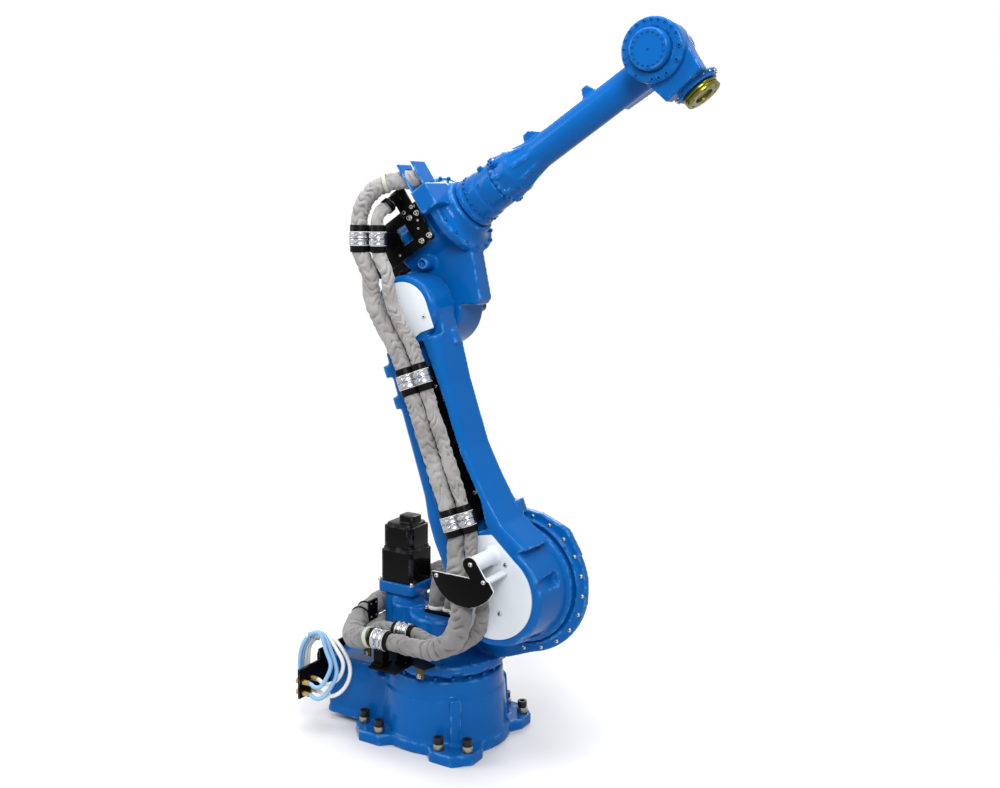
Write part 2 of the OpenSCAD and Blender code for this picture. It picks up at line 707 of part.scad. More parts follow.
module wrist_cover() {
    color("royalblue") at_wrist() turned_y()
        polygon([[0, 140], [69.5, 140], [69.5, 166], [64, 178], [0, 178]]);
}
module tool_flange() {
    color("goldenrod") at_wrist() difference() {
        union() {
            rod_x(flange_d / 2, tool_face - 22, tool_face - 13);
            rod_x(flange_d / 2 - 5, tool_face - 14, tool_face - 10);
            rod_x(flange_d / 2, tool_face - 11, tool_face);
        }
        rod_x(pilot_d / 2, tool_face - 8, tool_face + 1);
        for (a = [0:60:300]) rotate([a, 0, 0]) translate([0, 0, tool_bolt_circle / 2])
            rod_x(tool_hole_d / 2, tool_face - 23, tool_face + 1);
    }
}

base_casting();
anchor_spacers();
anchor_bolts();
connector_plate();
connector_box();
brass_fittings();
blue_air_tubes();
white_air_tubes();
turntable_casting();
turning_motor();
turning_motor_cap();
shoulder_motor();
shoulder_motor_cap();
centre_clamp();
hose_bracket_feet();
hose_bracket_plate();
table_clamp();
table_hoses();
lower_arm_casting();
shoulder_cover();
elbow_cover();
cable_plate();
lower_clamp();
upper_clamp();
guide_plate();
guide_post();
guide_bracket();
arm_hoses();
shoulder_hoses();
upper_arm_casting();
roll_motor();
elbow_motor();
hose_side_plate();
elbow_clamp();
top_frame();
top_hoses();
elbow_hoses();
forearm_casting();
wrist_housing();
wrist_cover();
tool_flange();
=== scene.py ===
import json
import math

import bmesh
import bpy
import numpy as np
from bpy.props import FloatProperty, FloatVectorProperty, IntProperty, PointerProperty
from mathutils import Matrix, Vector, noise


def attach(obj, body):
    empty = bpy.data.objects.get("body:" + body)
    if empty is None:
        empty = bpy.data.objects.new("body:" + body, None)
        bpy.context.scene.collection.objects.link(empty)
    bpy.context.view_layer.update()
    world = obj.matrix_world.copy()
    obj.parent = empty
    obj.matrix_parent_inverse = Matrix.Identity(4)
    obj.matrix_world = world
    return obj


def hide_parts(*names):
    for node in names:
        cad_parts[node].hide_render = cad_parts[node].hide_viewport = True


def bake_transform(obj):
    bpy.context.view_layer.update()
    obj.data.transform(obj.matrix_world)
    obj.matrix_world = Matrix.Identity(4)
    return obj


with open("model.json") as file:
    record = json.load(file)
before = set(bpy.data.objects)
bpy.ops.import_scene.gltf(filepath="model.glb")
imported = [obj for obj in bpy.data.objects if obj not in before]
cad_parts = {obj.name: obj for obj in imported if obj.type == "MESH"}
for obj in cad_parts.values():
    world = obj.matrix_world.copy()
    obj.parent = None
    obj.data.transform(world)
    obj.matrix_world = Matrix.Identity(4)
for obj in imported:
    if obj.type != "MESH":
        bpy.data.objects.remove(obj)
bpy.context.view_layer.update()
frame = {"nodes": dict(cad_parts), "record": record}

bl_info = {
    "name": "Six-axis robot arm",
    "version": (1, 0, 0),
    "blender": (4, 5, 0),
    "location": "3D View > Sidebar > Robot arm",
    "description": "Castings, covers, hoses and fasteners of a six-axis industrial robot arm",
    "category": "Object",
}

RECORD = frame["record"]
BODY_OF = {node: body for body, nodes in RECORD["behaviour"]["bodies"].items() for node in nodes}
JOINTS = {joint["name"]: joint for joint in RECORD["behaviour"]["joints"]}
OUT = Vector((0, -1, 0))
UP = Vector((0, 0, 1))
FORWARD = Vector((1, 0, 0))
ACROSS = Vector((0, 1, 0))


# Frames of the moving bodies, read from the joints: x forward, y across, z up or along.
def joint_place(name):
    return Vector(JOINTS[name]["pos_m"])


def frame_of(origin, forward, along):
    matrix = Matrix((forward, ACROSS, along)).transposed().to_4x4()
    matrix.translation = origin
    return matrix


SHOULDER = joint_place("shoulder")
ELBOW = joint_place("elbow")
WRIST = joint_place("wrist_bend")
ARM_UP = (ELBOW - SHOULDER).normalized()
FORE = Vector(JOINTS["forearm_roll"]["axis"]).normalized()
FORE_UP = FORE.cross(ACROSS)
TOOL = Vector(JOINTS["tool_turn"]["axis"]).normalized()
TURN_ARM = frame_of(SHOULDER, FORWARD, UP)
LOWER_ARM = frame_of(SHOULDER, ACROSS.cross(ARM_UP), ARM_UP)
UPPER_ARM = frame_of(ELBOW, FORE, FORE_UP)
FOREARM_OFFSET = 0.225
FOREARM = frame_of(ELBOW + FORE_UP * FOREARM_OFFSET, FORE, FORE_UP)
WRIST_HEAD = frame_of(WRIST, TOOL, TOOL.cross(ACROSS))
ARM_LENGTH = (ELBOW - SHOULDER).length


def colour_setting(name, about, value):
    return FloatVectorProperty(name=name, description=about, subtype="COLOR", default=value, min=0, max=1)


def length_setting(name, about, value, low, high):
    return FloatProperty(name=name, description=about, unit="LENGTH", default=value, min=low, max=high)


class FinishSettings(bpy.types.PropertyGroup):
    """Colours of the finishes."""

    blue_paint: colour_setting("Casting paint", "Paint of the cast bodies", (0.001, 0.100, 0.365))
    black_paint: colour_setting("Motor paint", "Paint of the motors", (0.003, 0.003, 0.0035))
    cover_white: colour_setting("Cover plastic", "Moulded covers", (0.60, 0.64, 0.69))
    hose_grey: colour_setting("Hose cloth", "Woven sleeve of the cable hoses", (0.345, 0.335, 0.335))
    flange_gold: colour_setting("Tool flange", "Passivated tool flange", (0.17, 0.155, 0.016))


class SizeSettings(bpy.types.PropertyGroup):
    """Sizes of the fine detail."""

    voxel: length_setting("Casting grain", "Mesh size of the cast bodies", 0.005, 0.003, 0.01)
    fillet_steps: IntProperty(name="Fillet steps", description="Smoothing passes that round the cast corners",
                              default=4, min=0, max=20)
    plate_edge: length_setting("Plate edge", "Rounding of plate edges", 0.0016, 0.0002, 0.01)
    hose_step: length_setting("Hose step", "Distance between two rings of a hose", 0.003, 0.002, 0.02)
    wrinkle: length_setting("Hose wrinkles", "Depth of the folds in the hose cloth", 0.0056, 0, 0.01)


def finishes():
    return bpy.context.scene.robot_finishes


def sizes():
    return bpy.context.scene.robot_sizes


# Node helpers.
COLOUR, NUMBER = "NodeSocketColor", "NodeSocketFloat"
GREY = (0.5, 0.5, 0.5, 1)


def feed(tree, node, values):
    """Sets a node's inputs, each by a link from an output or by a plain value."""
    for key, value in values.items():
        if isinstance(value, bpy.types.NodeSocket):
            tree.links.new(value, node.inputs[key])
        else:
            node.inputs[key].default_value = value


def add_node(tree, kind, values=None, **settings):
    """Adds a node and gives its outputs."""
    node = tree.nodes.new(kind)
    for name, value in settings.items():
        setattr(node, name, value)
    feed(tree, node, values or {})
    return node.outputs


def calc(tree, operation, *values, clamp=False):
    return add_node(tree, "ShaderNodeMath", dict(enumerate(values)), operation=operation, use_clamp=clamp)[0]


def blend_colour(tree, factor, a, b, mode="MIX"):
    return add_node(tree, "ShaderNodeMix", {0: factor, 6: a, 7: b}, data_type="RGBA", blend_type=mode)[2]


def darker(tree, colour, share):
    return blend_colour(tree, 1.0, colour, (*share, 1), "MULTIPLY")


def ramp(tree, value, low, high):
    return add_node(tree, "ShaderNodeMapRange", {"Value": value, "From Min": low, "From Max": high},
                    interpolation_type="SMOOTHSTEP")[0]


def grain(tree, scale, detail):
    place = add_node(tree, "ShaderNodeTexCoord")["Object"]
    return add_node(tree, "ShaderNodeTexNoise", {"Vector": place, "Scale": scale, "Detail": detail})["Fac"]


def stored(tree, name):
    """A value that the mesh carries under this name."""
    return add_node(tree, "ShaderNodeAttribute", attribute_name=name)["Fac"]


def shader_group(name, inputs, outputs, wire):
    """The named group, made on first use; wire(tree, given) returns what feeds its outputs."""
    if name in bpy.data.node_groups:
        return bpy.data.node_groups[name]
    tree = bpy.data.node_groups.new(name, "ShaderNodeTree")
    for label, value in inputs.items():
        kind = COLOUR if isinstance(value, tuple) else NUMBER
        tree.interface.new_socket(name=label, in_out="INPUT", socket_type=kind).default_value = value
    for label in outputs:
        kind = COLOUR if label == "Colour" else NUMBER
        tree.interface.new_socket(name=label, in_out="OUTPUT", socket_type=kind)
    made = wire(tree, add_node(tree, "NodeGroupInput"))
    feed(tree, tree.nodes.new("NodeGroupOutput"), made)
    return tree


# Shader groups that several finishes share.
def tone_group():
    """Slow change of tone and gloss over a surface, with fine grain for the bump."""
    def wire(tree, given):
        colour, change = given["Colour"], given["Tone Change"]
        lift = calc(tree, "SUBTRACT", grain(tree, given["Patch Scale"], 4.0), 0.5)
        share = calc(tree, "MULTIPLY_ADD", lift, change, change, clamp=True)
        rough = calc(tree, "MULTIPLY_ADD", lift, given["Roughness Change"], given["Roughness"], clamp=True)
        return {"Colour": blend_colour(tree, share, colour, darker(tree, colour, (0.55, 0.55, 0.58))),
                "Roughness": rough, "Height": grain(tree, given["Grain Scale"], 2.0)}

    return shader_group(
        "Tone and grain",
        {"Colour": GREY, "Tone Change": 0.15, "Patch Scale": 5.0, "Grain Scale": 300.0, "Roughness": 0.4,
         "Roughness Change": 0.15},
        ("Colour", "Roughness", "Height"), wire)


def wear_highlight_and_dust_group():
    """Lighter edges from the piece's own edge attribute, and settled dust on upper faces.
    The lighter edges are scuffed paint and, on the castings, painted highlight along the rounded edges.
    """
    def wire(tree, given):
        broken = ramp(tree, grain(tree, 38.0, 5.0), 0.42, 0.66)
        rubbed_and_highlit = calc(tree, "MULTIPLY", stored(tree, "edge"), broken)
        worn_and_highlit = calc(tree, "MULTIPLY", rubbed_and_highlit, given["Wear and Highlight"], clamp=True)
        facing = add_node(tree, "ShaderNodeSeparateXYZ", {0: add_node(tree, "ShaderNodeNewGeometry")["Normal"]})
        settled = ramp(tree, grain(tree, 9.0, 6.0), 0.3, 0.75)
        lying = calc(tree, "MULTIPLY", ramp(tree, facing["Z"], 0.3, 1.0), settled)
        dusty = calc(tree, "MULTIPLY", lying, given["Dust"], clamp=True)
        coloured = blend_colour(tree, worn_and_highlit, given["Colour"], given["Worn and Highlit Colour"])
        return {"Colour": blend_colour(tree, dusty, coloured, given["Dust Colour"])}

    return shader_group(
        "Edge wear, painted highlight and dust",
        {"Colour": GREY, "Worn and Highlit Colour": (0.8, 0.8, 0.8, 1), "Dust Colour": (0.4, 0.38, 0.35, 1), "Wear and Highlight": 0.5,
         "Dust": 0.1},
        ("Colour",), wire)


def weave_group():
    """Over-and-under threads of a woven sleeve, by the piece's own UV map, and painted shade in the creases."""
    def wire(tree, given):
        colour = given["Colour"]
        uv = add_node(tree, "ShaderNodeSeparateXYZ", {0: add_node(tree, "ShaderNodeTexCoord")["UV"]})
        waves = []
        for place, rate in ((uv[0], "Threads Around"), (uv[1], "Threads Per Metre")):
            turns = calc(tree, "MULTIPLY", calc(tree, "MULTIPLY", place, 2 * math.pi), given[rate])
            waves.append(calc(tree, "SINE", turns))
        thread = calc(tree, "MULTIPLY_ADD", calc(tree, "MULTIPLY", *waves), 0.5, 0.5)
        seam = calc(tree, "ABSOLUTE", calc(tree, "SUBTRACT", uv[0], given["Seam"]))
        line = calc(tree, "SUBTRACT", 1.0, ramp(tree, seam, 0.006, 0.02))
        woven = blend_colour(tree, thread, darker(tree, colour, (0.72, 0.72, 0.72)), colour)
        # Painted shade: the cloth is darkened in the creases between the folds, where the hose's crease shading is
        # low.
        shaded_creases = ramp(tree, stored(tree, "crease_shade"), 0.1, 0.7)
        cloth = blend_colour(tree, shaded_creases, darker(tree, woven, (0.50, 0.48, 0.47)), woven)
        spotted = ramp(tree, grain(tree, 14.0, 6.0), 0.35, 0.8)
        soiled = blend_colour(tree, spotted, cloth, darker(tree, cloth, (0.62, 0.6, 0.58)))
        return {"Colour": blend_colour(tree, line, soiled, (0.02, 0.02, 0.02, 1)), "Height": thread}

    return shader_group(
        "Sleeve weave",
        {"Colour": GREY, "Threads Around": 64.0, "Threads Per Metre": 340.0, "Seam": 0.3},
        ("Colour", "Height"), wire)


def new_material(name):
    material = bpy.data.materials.new(name)
    material.use_nodes = True
    tree = material.node_tree
    return material, tree, tree.nodes["Principled BSDF"]


def bumped(tree, height, strength, distance):
    return add_node(tree, "ShaderNodeBump", {"Strength": strength, "Distance": distance, "Height": height})[0]


def coated(name, colour, rough, tone=0.2, patch=4.0, fine=260.0, bump=0.08, metallic=0.0,
           worn_and_highlit=(0.8, 0.8, 0.8), wear_and_highlight=0.0, dust=0.12, change=0.15, gloss=0.5):
    """A painted, plated or moulded finish with tone changes, lighter edges, dust and fine grain.
    The lighter edges are scuffed paint and, on the castings, painted highlight.
    """
    if name in bpy.data.materials:
        return bpy.data.materials[name]
    material, tree, shader = new_material(name)
    toned = add_node(tree, "ShaderNodeGroup", {
        "Colour": (*colour, 1), "Tone Change": tone, "Patch Scale": patch, "Grain Scale": fine,
        "Roughness": rough, "Roughness Change": change}, node_tree=tone_group())
    aged = add_node(tree, "ShaderNodeGroup", {
        "Colour": toned["Colour"], "Worn and Highlit Colour": (*worn_and_highlit, 1), "Wear and Highlight": wear_and_highlight, "Dust": dust}, node_tree=wear_highlight_and_dust_group())
    feed(tree, shader, {
        "Base Color": aged["Colour"], "Roughness": toned["Roughness"], "Metallic": metallic,
        "Specular IOR Level": gloss, "Normal": bumped(tree, toned["Height"], bump, 0.001)})
    return material


# Each finish: its colour or the name of its colour setting, its roughness, and what differs from the defaults.
TUBE_PLASTIC = dict(tone=0.15, patch=12.0, fine=500.0, bump=0.04, dust=0.06)
FINISHES = {
    # The casting paint's pale blue edge colour is painted highlight along the rounded edges, as well as scuffed
    # paint.
    "casting_paint": ("blue_paint", 0.17, dict(tone=0.25, fine=220.0, bump=0.07, change=0.1, dust=0.02,
                                               worn_and_highlit=(0.10, 0.32, 0.64), wear_and_highlight=0.85, gloss=0.1)),
    "motor_paint": ("black_paint", 0.15, dict(tone=0.3, fine=320.0, bump=0.07, dust=0.01,
                                              worn_and_highlit=(0.05, 0.05, 0.055), wear_and_highlight=0.6, gloss=0.07)),
    "plate_paint": ((0.002, 0.002, 0.0024), 0.36, dict(tone=0.3, fine=420.0, bump=0.1, dust=0.01,
                                                       worn_and_highlit=(0.26, 0.27, 0.29), wear_and_highlight=0.7, gloss=0.05)),
    "cover_plastic": ("cover_white", 0.45, dict(tone=0.12, patch=7.0, fine=500.0, dust=0.10)),
    "zinc_plate": ((0.62, 0.60, 0.55), 0.34, dict(tone=0.3, patch=26.0, fine=600.0, metallic=1.0, dust=0.08)),
    "spacer_zinc": ((0.36, 0.33, 0.25), 0.30, dict(tone=0.4, patch=34.0, fine=600.0, metallic=1.0, dust=0.06)),
    "olive_zinc": ((0.075, 0.060, 0.012), 0.36, dict(tone=0.4, patch=22.0, fine=500.0, metallic=0.6, dust=0.03,
                                                     gloss=0.3)),
    "wrap_steel": ((0.60, 0.62, 0.64), 0.26, dict(tone=0.7, patch=70.0, fine=700.0, metallic=1.0, dust=0.02,
                                                  change=0.3)),
    "black_oxide": ((0.012, 0.012, 0.013), 0.36, dict(tone=0.3, patch=40.0, fine=600.0, metallic=0.3, dust=0.04,
                                                      gloss=0.3)),
    # Painted shade: the near-black hexagon on a screw head stands for the shade in its socket.
    "socket_painted_shade": ((0.004, 0.004, 0.004), 0.6, dict(patch=60.0, fine=600.0, dust=0.0, gloss=0.1)),
    "fitting_brass": ((0.50, 0.34, 0.11), 0.30, dict(tone=0.3, patch=35.0, fine=600.0, metallic=1.0)),
    "flange_passivated": ("flange_gold", 0.28, dict(tone=0.5, patch=18.0, fine=420.0, metallic=0.9, dust=0.02,
                                                    gloss=0.15)),
    "sleeve_rubber": ((0.004, 0.004, 0.0045), 0.32, dict(tone=0.3, patch=20.0, fine=380.0, bump=0.15, dust=0.0,
                                                         gloss=0.06)),
    "band_white": ((0.62, 0.62, 0.60), 0.5, dict(patch=20.0, fine=500.0, dust=0.1)),
    "strap_green": ((0.44, 0.47, 0.36), 0.55, dict(tone=0.25, patch=30.0, fine=500.0, dust=0.1)),
    "air_tube_blue": ((0.22, 0.42, 0.66), 0.28, TUBE_PLASTIC),
    "air_tube_white": ((0.72, 0.73, 0.72), 0.28, TUBE_PLASTIC),
}


def finish(name):
    colour, rough, changes = FINISHES[name]
    if isinstance(colour, str):
        colour = getattr(finishes(), colour)
    return coated(name, colour, rough, **changes)


def hose_cloth(name, threads, tone):
    if name in bpy.data.materials:
        return bpy.data.materials[name]
    material, tree, shader = new_material(name)
    weave = add_node(tree, "ShaderNodeGroup", {
        "Colour": (*(tone * c for c in finishes().hose_grey), 1), "Threads Around": threads,
        "Threads Per Metre": 340.0, "Seam": 0.62}, node_tree=weave_group())
    aged = add_node(tree, "ShaderNodeGroup", {
        "Colour": weave["Colour"], "Wear and Highlight": 0.0, "Dust": 0.12, "Dust Colour": (0.42, 0.40, 0.38, 1)},
        node_tree=wear_highlight_and_dust_group())
    feed(tree, shader, {
        "Base Color": aged["Colour"], "Roughness": 0.85, "Sheen Weight": 0.25,
        "Normal": bumped(tree, weave["Height"], 0.35, 0.0008)})
    return material


# Mesh helpers.
SHARP_ANGLE = 32  # degrees
WEAR_AND_HIGHLIGHT_FROM, WEAR_AND_HIGHLIGHT_RANGE = 0.03, 0.12  # how far a corner stands out, in mesh sizes, where the lighter edge (scuffed paint and painted highlight) begins and over what


def object_from(name, bm, *materials):
    mesh = bpy.data.meshes.new(name)
    bm.to_mesh(mesh)
    bm.free()
    for material in materials:
        mesh.materials.append(material)
    obj = bpy.data.objects.new(name, mesh)
    bpy.context.scene.collection.objects.link(obj)
    return obj


def smooth_shade(mesh, angle=SHARP_ANGLE):
    mesh.polygons.foreach_set("use_smooth", [True] * len(mesh.polygons))
    mesh.set_sharp_from_angle(angle=math.radians(angle))


def modify(obj, kind, **settings):
    modifier = obj.modifiers.new(kind.lower(), kind)
    for name, value in settings.items():
        setattr(modifier, name, value)


def apply_modifiers(obj):
    depsgraph = bpy.context.evaluated_depsgraph_get()
    made = bpy.data.meshes.new_from_object(obj.evaluated_get(depsgraph), depsgraph=depsgraph)
    obj.modifiers.clear()
    old = obj.data
    obj.data = made
    bpy.data.meshes.remove(old)


def put(obj, body, slot, *nodes):
    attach(obj, body)
    if nodes:
        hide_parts(*nodes)


def solid_of(node):
    """The CAD solid of a node as a mesh with shared corners."""
    bm = bmesh.new()
    bm.from_mesh(frame["nodes"][node].data)
    bmesh.ops.remove_doubles(bm, verts=bm.verts, dist=1e-5)
    return bm


def turned(degrees, axis):
    return Matrix.Rotation(math.radians(degrees), 4, axis)


def add_lathe(bm, matrix, profile, sides=48, material=0):
    """A turned solid or ring: profile points are (radius, height) about the matrix's z axis."""
    if profile[0][0]:
        profile = [*profile, profile[0]]
    rings = []
    for radius, height in profile:
        if radius:
            angles = [2 * math.pi * k / sides for k in range(sides)]
            places = [(radius * math.cos(a), radius * math.sin(a), height) for a in angles]
        else:
            places = [(0, 0, height)]
        rings.append([bm.verts.new(matrix @ Vector(place)) for place in places])
    for low, high in zip(rings, rings[1:]):
        for k in range(sides):
            n = (k + 1) % sides
            corners = [low[k % len(low)], low[n % len(low)], high[n % len(high)], high[k % len(high)]]
            unique = list(dict.fromkeys(corners))
            if len(unique) > 2:
                face = bm.faces.new(unique)
                face.material_index = material
                face.smooth = True


def add_box(bm, matrix, low, high, material=0):
    low, high = Vector(low), Vector(high)
    place = matrix @ Matrix.Translation((low + high) / 2) @ Matrix.Diagonal((*(high - low), 1))
    made = bmesh.ops.create_cube(bm, size=1, matrix=place)
    for face in {f for v in made["verts"] for f in v.link_faces}:
        face.material_index = material


def pointing(place, axis, spin=UP):
    """A matrix at place whose z axis is axis."""
    z = Vector(axis).normalized()
    side = ACROSS if abs(z.dot(spin)) > 0.95 else spin
    x = side.cross(z).normalized()
    matrix = Matrix((x, z.cross(x), z)).transposed().to_4x4()
    matrix.translation = Vector(place)
    return matrix


def mark_edges(mesh, grain_size):
    """Stores how far each corner stands out, as the edge attribute that the paint reads."""
    count = len(mesh.vertices)
    place = np.empty(count * 3)
    normal = np.empty(count * 3)
    ends = np.empty(len(mesh.edges) * 2, int)
    mesh.vertices.foreach_get("co", place)
    mesh.vertices.foreach_get("normal", normal)
    mesh.edges.foreach_get("vertices", ends)
    place, normal, ends = place.reshape(-1, 3), normal.reshape(-1, 3), ends.reshape(-1, 2)

    def neighbours(values):
        total = np.zeros_like(values)
        np.add.at(total, ends[:, 0], values[ends[:, 1]])
        np.add.at(total, ends[:, 1], values[ends[:, 0]])
        return total

    links = np.maximum(neighbours(np.ones(count)), 1)
    proud = ((place - neighbours(place) / links[:, None]) * normal).sum(1) / grain_size
    edge = np.clip((proud - WEAR_AND_HIGHLIGHT_FROM) / WEAR_AND_HIGHLIGHT_RANGE, 0, 1)
    edge = 0.5 * edge + 0.5 * neighbours(edge) / links
    mesh.attributes.new("edge", "FLOAT", "POINT").data.foreach_set("value", edge.astype(np.float32))


def cast(name, node, grain_size):
    """A cast body: the CAD solid with its corners rounded as poured metal has them."""
    paint = finish("casting_paint")
    obj = object_from(name, solid_of(node), paint)
    modify(obj, "REMESH", mode="VOXEL", voxel_size=grain_size, use_smooth_shade=True)
    modify(obj, "SMOOTH", factor=0.5, iterations=sizes().fillet_steps)
    apply_modifiers(obj)
    mesh = obj.data
    mesh.materials.clear()
    mesh.materials.append(paint)
    mesh.polygons.foreach_set("use_smooth", [True] * len(mesh.polygons))
    mark_edges(mesh, grain_size)
    put(obj, BODY_OF[node], "blue_paint", node)


def mark_bevels(mesh, width):
    """The edge attribute of a bevelled piece: its narrow bevel faces."""
    edge = []
    for face in mesh.polygons:
        corners = [mesh.vertices[k].co for k in face.vertices]
        around = sum((a - b).length for a, b in zip(corners, corners[1:] + corners[:1]))
        edge.append(1.0 if 2 * face.area < 1.2 * width * around else 0.0)
    mesh.attributes.new("edge", "FLOAT", "FACE").data.foreach_set("value", edge)


def rounded(name, bm, finish_names, width, segments, body, slot, *nodes):
    """A piece on its body, with rounded edges."""
    obj = object_from(name, bm, *map(finish, finish_names))
    modify(obj, "BEVEL", width=width, segments=segments, limit_method="ANGLE",
           angle_limit=math.radians(SHARP_ANGLE))
    apply_modifiers(obj)
    smooth_shade(obj.data)
    mark_bevels(obj.data, width)
    put(obj, body, slot, *nodes)


def rounded_solid(name, node, finish_name, slot, width, segments=2):
    """A plate, motor or cover: the CAD solid with rounded edges."""
    bm = solid_of(node)
    bmesh.ops.dissolve_limit(bm, angle_limit=math.radians(1), verts=bm.verts, edges=bm.edges)
    rounded(name, bm, [finish_name], width, segments, BODY_OF[node], slot, node)


# Routes of the hoses and tubes, in metres: those of the part's source, drawn straighter across the elbow.
def lower_arm_spot(x, y, z):
    return LOWER_ARM @ Vector((x, y, z))


SPLINE_STEPS = 24  # between two points of a route
SEAM_GAP = 0.0005  # between the hose pieces of two bodies
HOSE_D = 0.062
SLIM_D = 0.046
LOOP_R = HOSE_D / 2 + 0.008
SLIM_LOOP_R = SLIM_D / 2 + 0.002
LOOP_TONE = 0.6  # the free loops low on the arm are darker
AIR_D = 0.016
ARM_HOSES_FROM = 0.240
ARM_HOSES_TO = ARM_LENGTH - 0.200
BIG_ON_ARM = (-0.052, -0.232)
SLIM_ON_ARM = (0.010, -0.226)
ELBOW_CLAMP = Vector((0.038, -0.235, 0.288))
CLAMP_HALF = 0.040  # from the middle of the elbow clamp to a hose
RISE = math.atan2(FORE.z, FORE.x)
BIG_TABLE = [(-0.022, -0.018, 0.4703), (-0.022, -0.018, 0.540), (-0.034, 0.040, 0.586), (-0.084, 0.124, 0.584),
             (-0.156, 0.180, 0.545), (-0.256, 0.190, 0.490), (-0.322, 0.110, 0.446), (-0.336, -0.010, 0.424),
             (-0.322, -0.130, 0.402), (-0.262, -0.238, 0.392), (-0.168, -0.308, 0.420), (-0.110, -0.325, 0.440),
             (-0.020, -0.325, 0.440)]
SLIM_TABLE = [(0.036, -0.018, 0.4703), (0.036, -0.018, 0.520), (0.034, 0.052, 0.550), (0.0, 0.130, 0.528),
              (-0.090, 0.174, 0.470), (-0.196, 0.172, 0.424), (-0.290, 0.104, 0.388), (-0.296, 0.0, 0.370),
              (-0.266, -0.110, 0.370), (-0.204, -0.196, 0.398), (-0.130, -0.250, 0.446), (-0.060, -0.262, 0.466),
              (0.020, -0.262, 0.466)]
BIG_LOW = [(-0.0195, -0.325, 0.440), (0.080, -0.328, 0.442), (0.170, -0.332, 0.456), (0.242, -0.332, 0.506),
           (0.270, -0.322, 0.590), (0.246, -0.300, 0.700), (0.208, -0.264, 0.790),
           lower_arm_spot(*BIG_ON_ARM, ARM_HOSES_FROM - SEAM_GAP)]
SLIM_LOW = [(0.0205, -0.262, 0.466), (0.120, -0.262, 0.448), (0.212, -0.264, 0.454), (0.296, -0.268, 0.514),
            (0.326, -0.270, 0.606), (0.304, -0.262, 0.705), (0.262, -0.246, 0.805),
            lower_arm_spot(*SLIM_ON_ARM, ARM_HOSES_FROM - SEAM_GAP)]


def clamp_spot(dx, dz):
    return ELBOW_CLAMP + Vector((dx * math.cos(RISE) + dz * math.sin(RISE), 0,
                                 dz * math.cos(RISE) - dx * math.sin(RISE)))


def crossing(start, end, bulge):
    offsets = ((0.2, (0.004, -0.010, 0)), (0.4, (bulge, -0.015, 0)), (0.6, (bulge, -0.015, 0)),
               (0.8, (0.002 - bulge / 2, -0.008, 0)))
    return [start] + [start.lerp(end, t) + Vector(off) for t, off in offsets] + [end]


BIG_TOP = [UPPER_ARM @ Vector(p) for p in (
    clamp_spot(-CLAMP_HALF, -0.036), clamp_spot(-CLAMP_HALF, 0.040), (0.046, -0.231, 0.378), (0.092, -0.222, 0.415),
    (0.150, -0.205, 0.434), (0.210, -0.180, 0.420), (0.262, -0.158, 0.391), (0.3216, -0.152, 0.370))]
SLIM_TOP = [UPPER_ARM @ Vector(p) for p in (
    clamp_spot(CLAMP_HALF, -0.036), clamp_spot(CLAMP_HALF, 0.036), (0.102, -0.230, 0.322), (0.118, -0.214, 0.346),
    (0.142, -0.186, 0.358))]
BIG_CROSS = crossing(lower_arm_spot(*BIG_ON_ARM, ARM_HOSES_TO + SEAM_GAP),
                     UPPER_ARM @ clamp_spot(-CLAMP_HALF, -0.0365), -0.013)
SLIM_CROSS = crossing(lower_arm_spot(*SLIM_ON_ARM, ARM_HOSES_TO + SEAM_GAP),
                      UPPER_ARM @ clamp_spot(CLAMP_HALF, -0.0365), -0.010)


def smooth_route(points, step, first=None, last=None):
    """Points at an even step along the smooth curve through a route, each with its place in the route."""
    points = [Vector(p) for p in points]
    gaps = [(b - a).length for a, b in zip(points, points[1:])]
    slopes = [(points[1] - points[0]).normalized() if first is None else first]
    slopes += [(b - a) / (gap + after) for a, b, gap, after in zip(points, points[2:], gaps, gaps[1:])]
    slopes.append((points[-1] - points[-2]).normalized() if last is None else last)
    dense = []
    for a, b, gap, leave, arrive in zip(points, points[1:], gaps, slopes, slopes[1:]):
        for t in (n / SPLINE_STEPS for n in range(SPLINE_STEPS)):
            dense.append((2 * t**3 - 3 * t**2 + 1) * a + (t**3 - 2 * t**2 + t) * gap * leave
                         + (3 * t**2 - 2 * t**3) * b + (t**3 - t**2) * gap * arrive)
    dense.append(points[-1])
    reach = [0.0]
    for a, b in zip(dense, dense[1:]):
        reach.append(reach[-1] + (b - a).length)
    steps = max(2, round(reach[-1] / step))
    even, where, k = [], [], 0
    for n in range(steps + 1):
        want = reach[-1] * n / steps
        while k < len(reach) - 2 and reach[k + 1] < want:
            k += 1
        share = (want - reach[k]) / max(reach[k + 1] - reach[k], 1e-9)
        even.append(dense[k].lerp(dense[k + 1], min(1, share)))
        where.append((k + min(1, share)) / SPLINE_STEPS)
    return even, where


def tube_frames(path):
    """Side and upright directions carried along a path without twist."""
    tangents = [(path[min(k + 1, len(path) - 1)] - path[max(k - 1, 0)]).normalized() for k in range(len(path))]
    side = OUT - tangents[0] * OUT.dot(tangents[0])
    if side.length < 0.2:
        side = FORWARD - tangents[0] * tangents[0].x
    side.normalize()
    frames = []
    for tangent in tangents:
        side = (side - tangent * side.dot(tangent)).normalized()
        frames.append((tangent, side, tangent.cross(side)))
    return frames


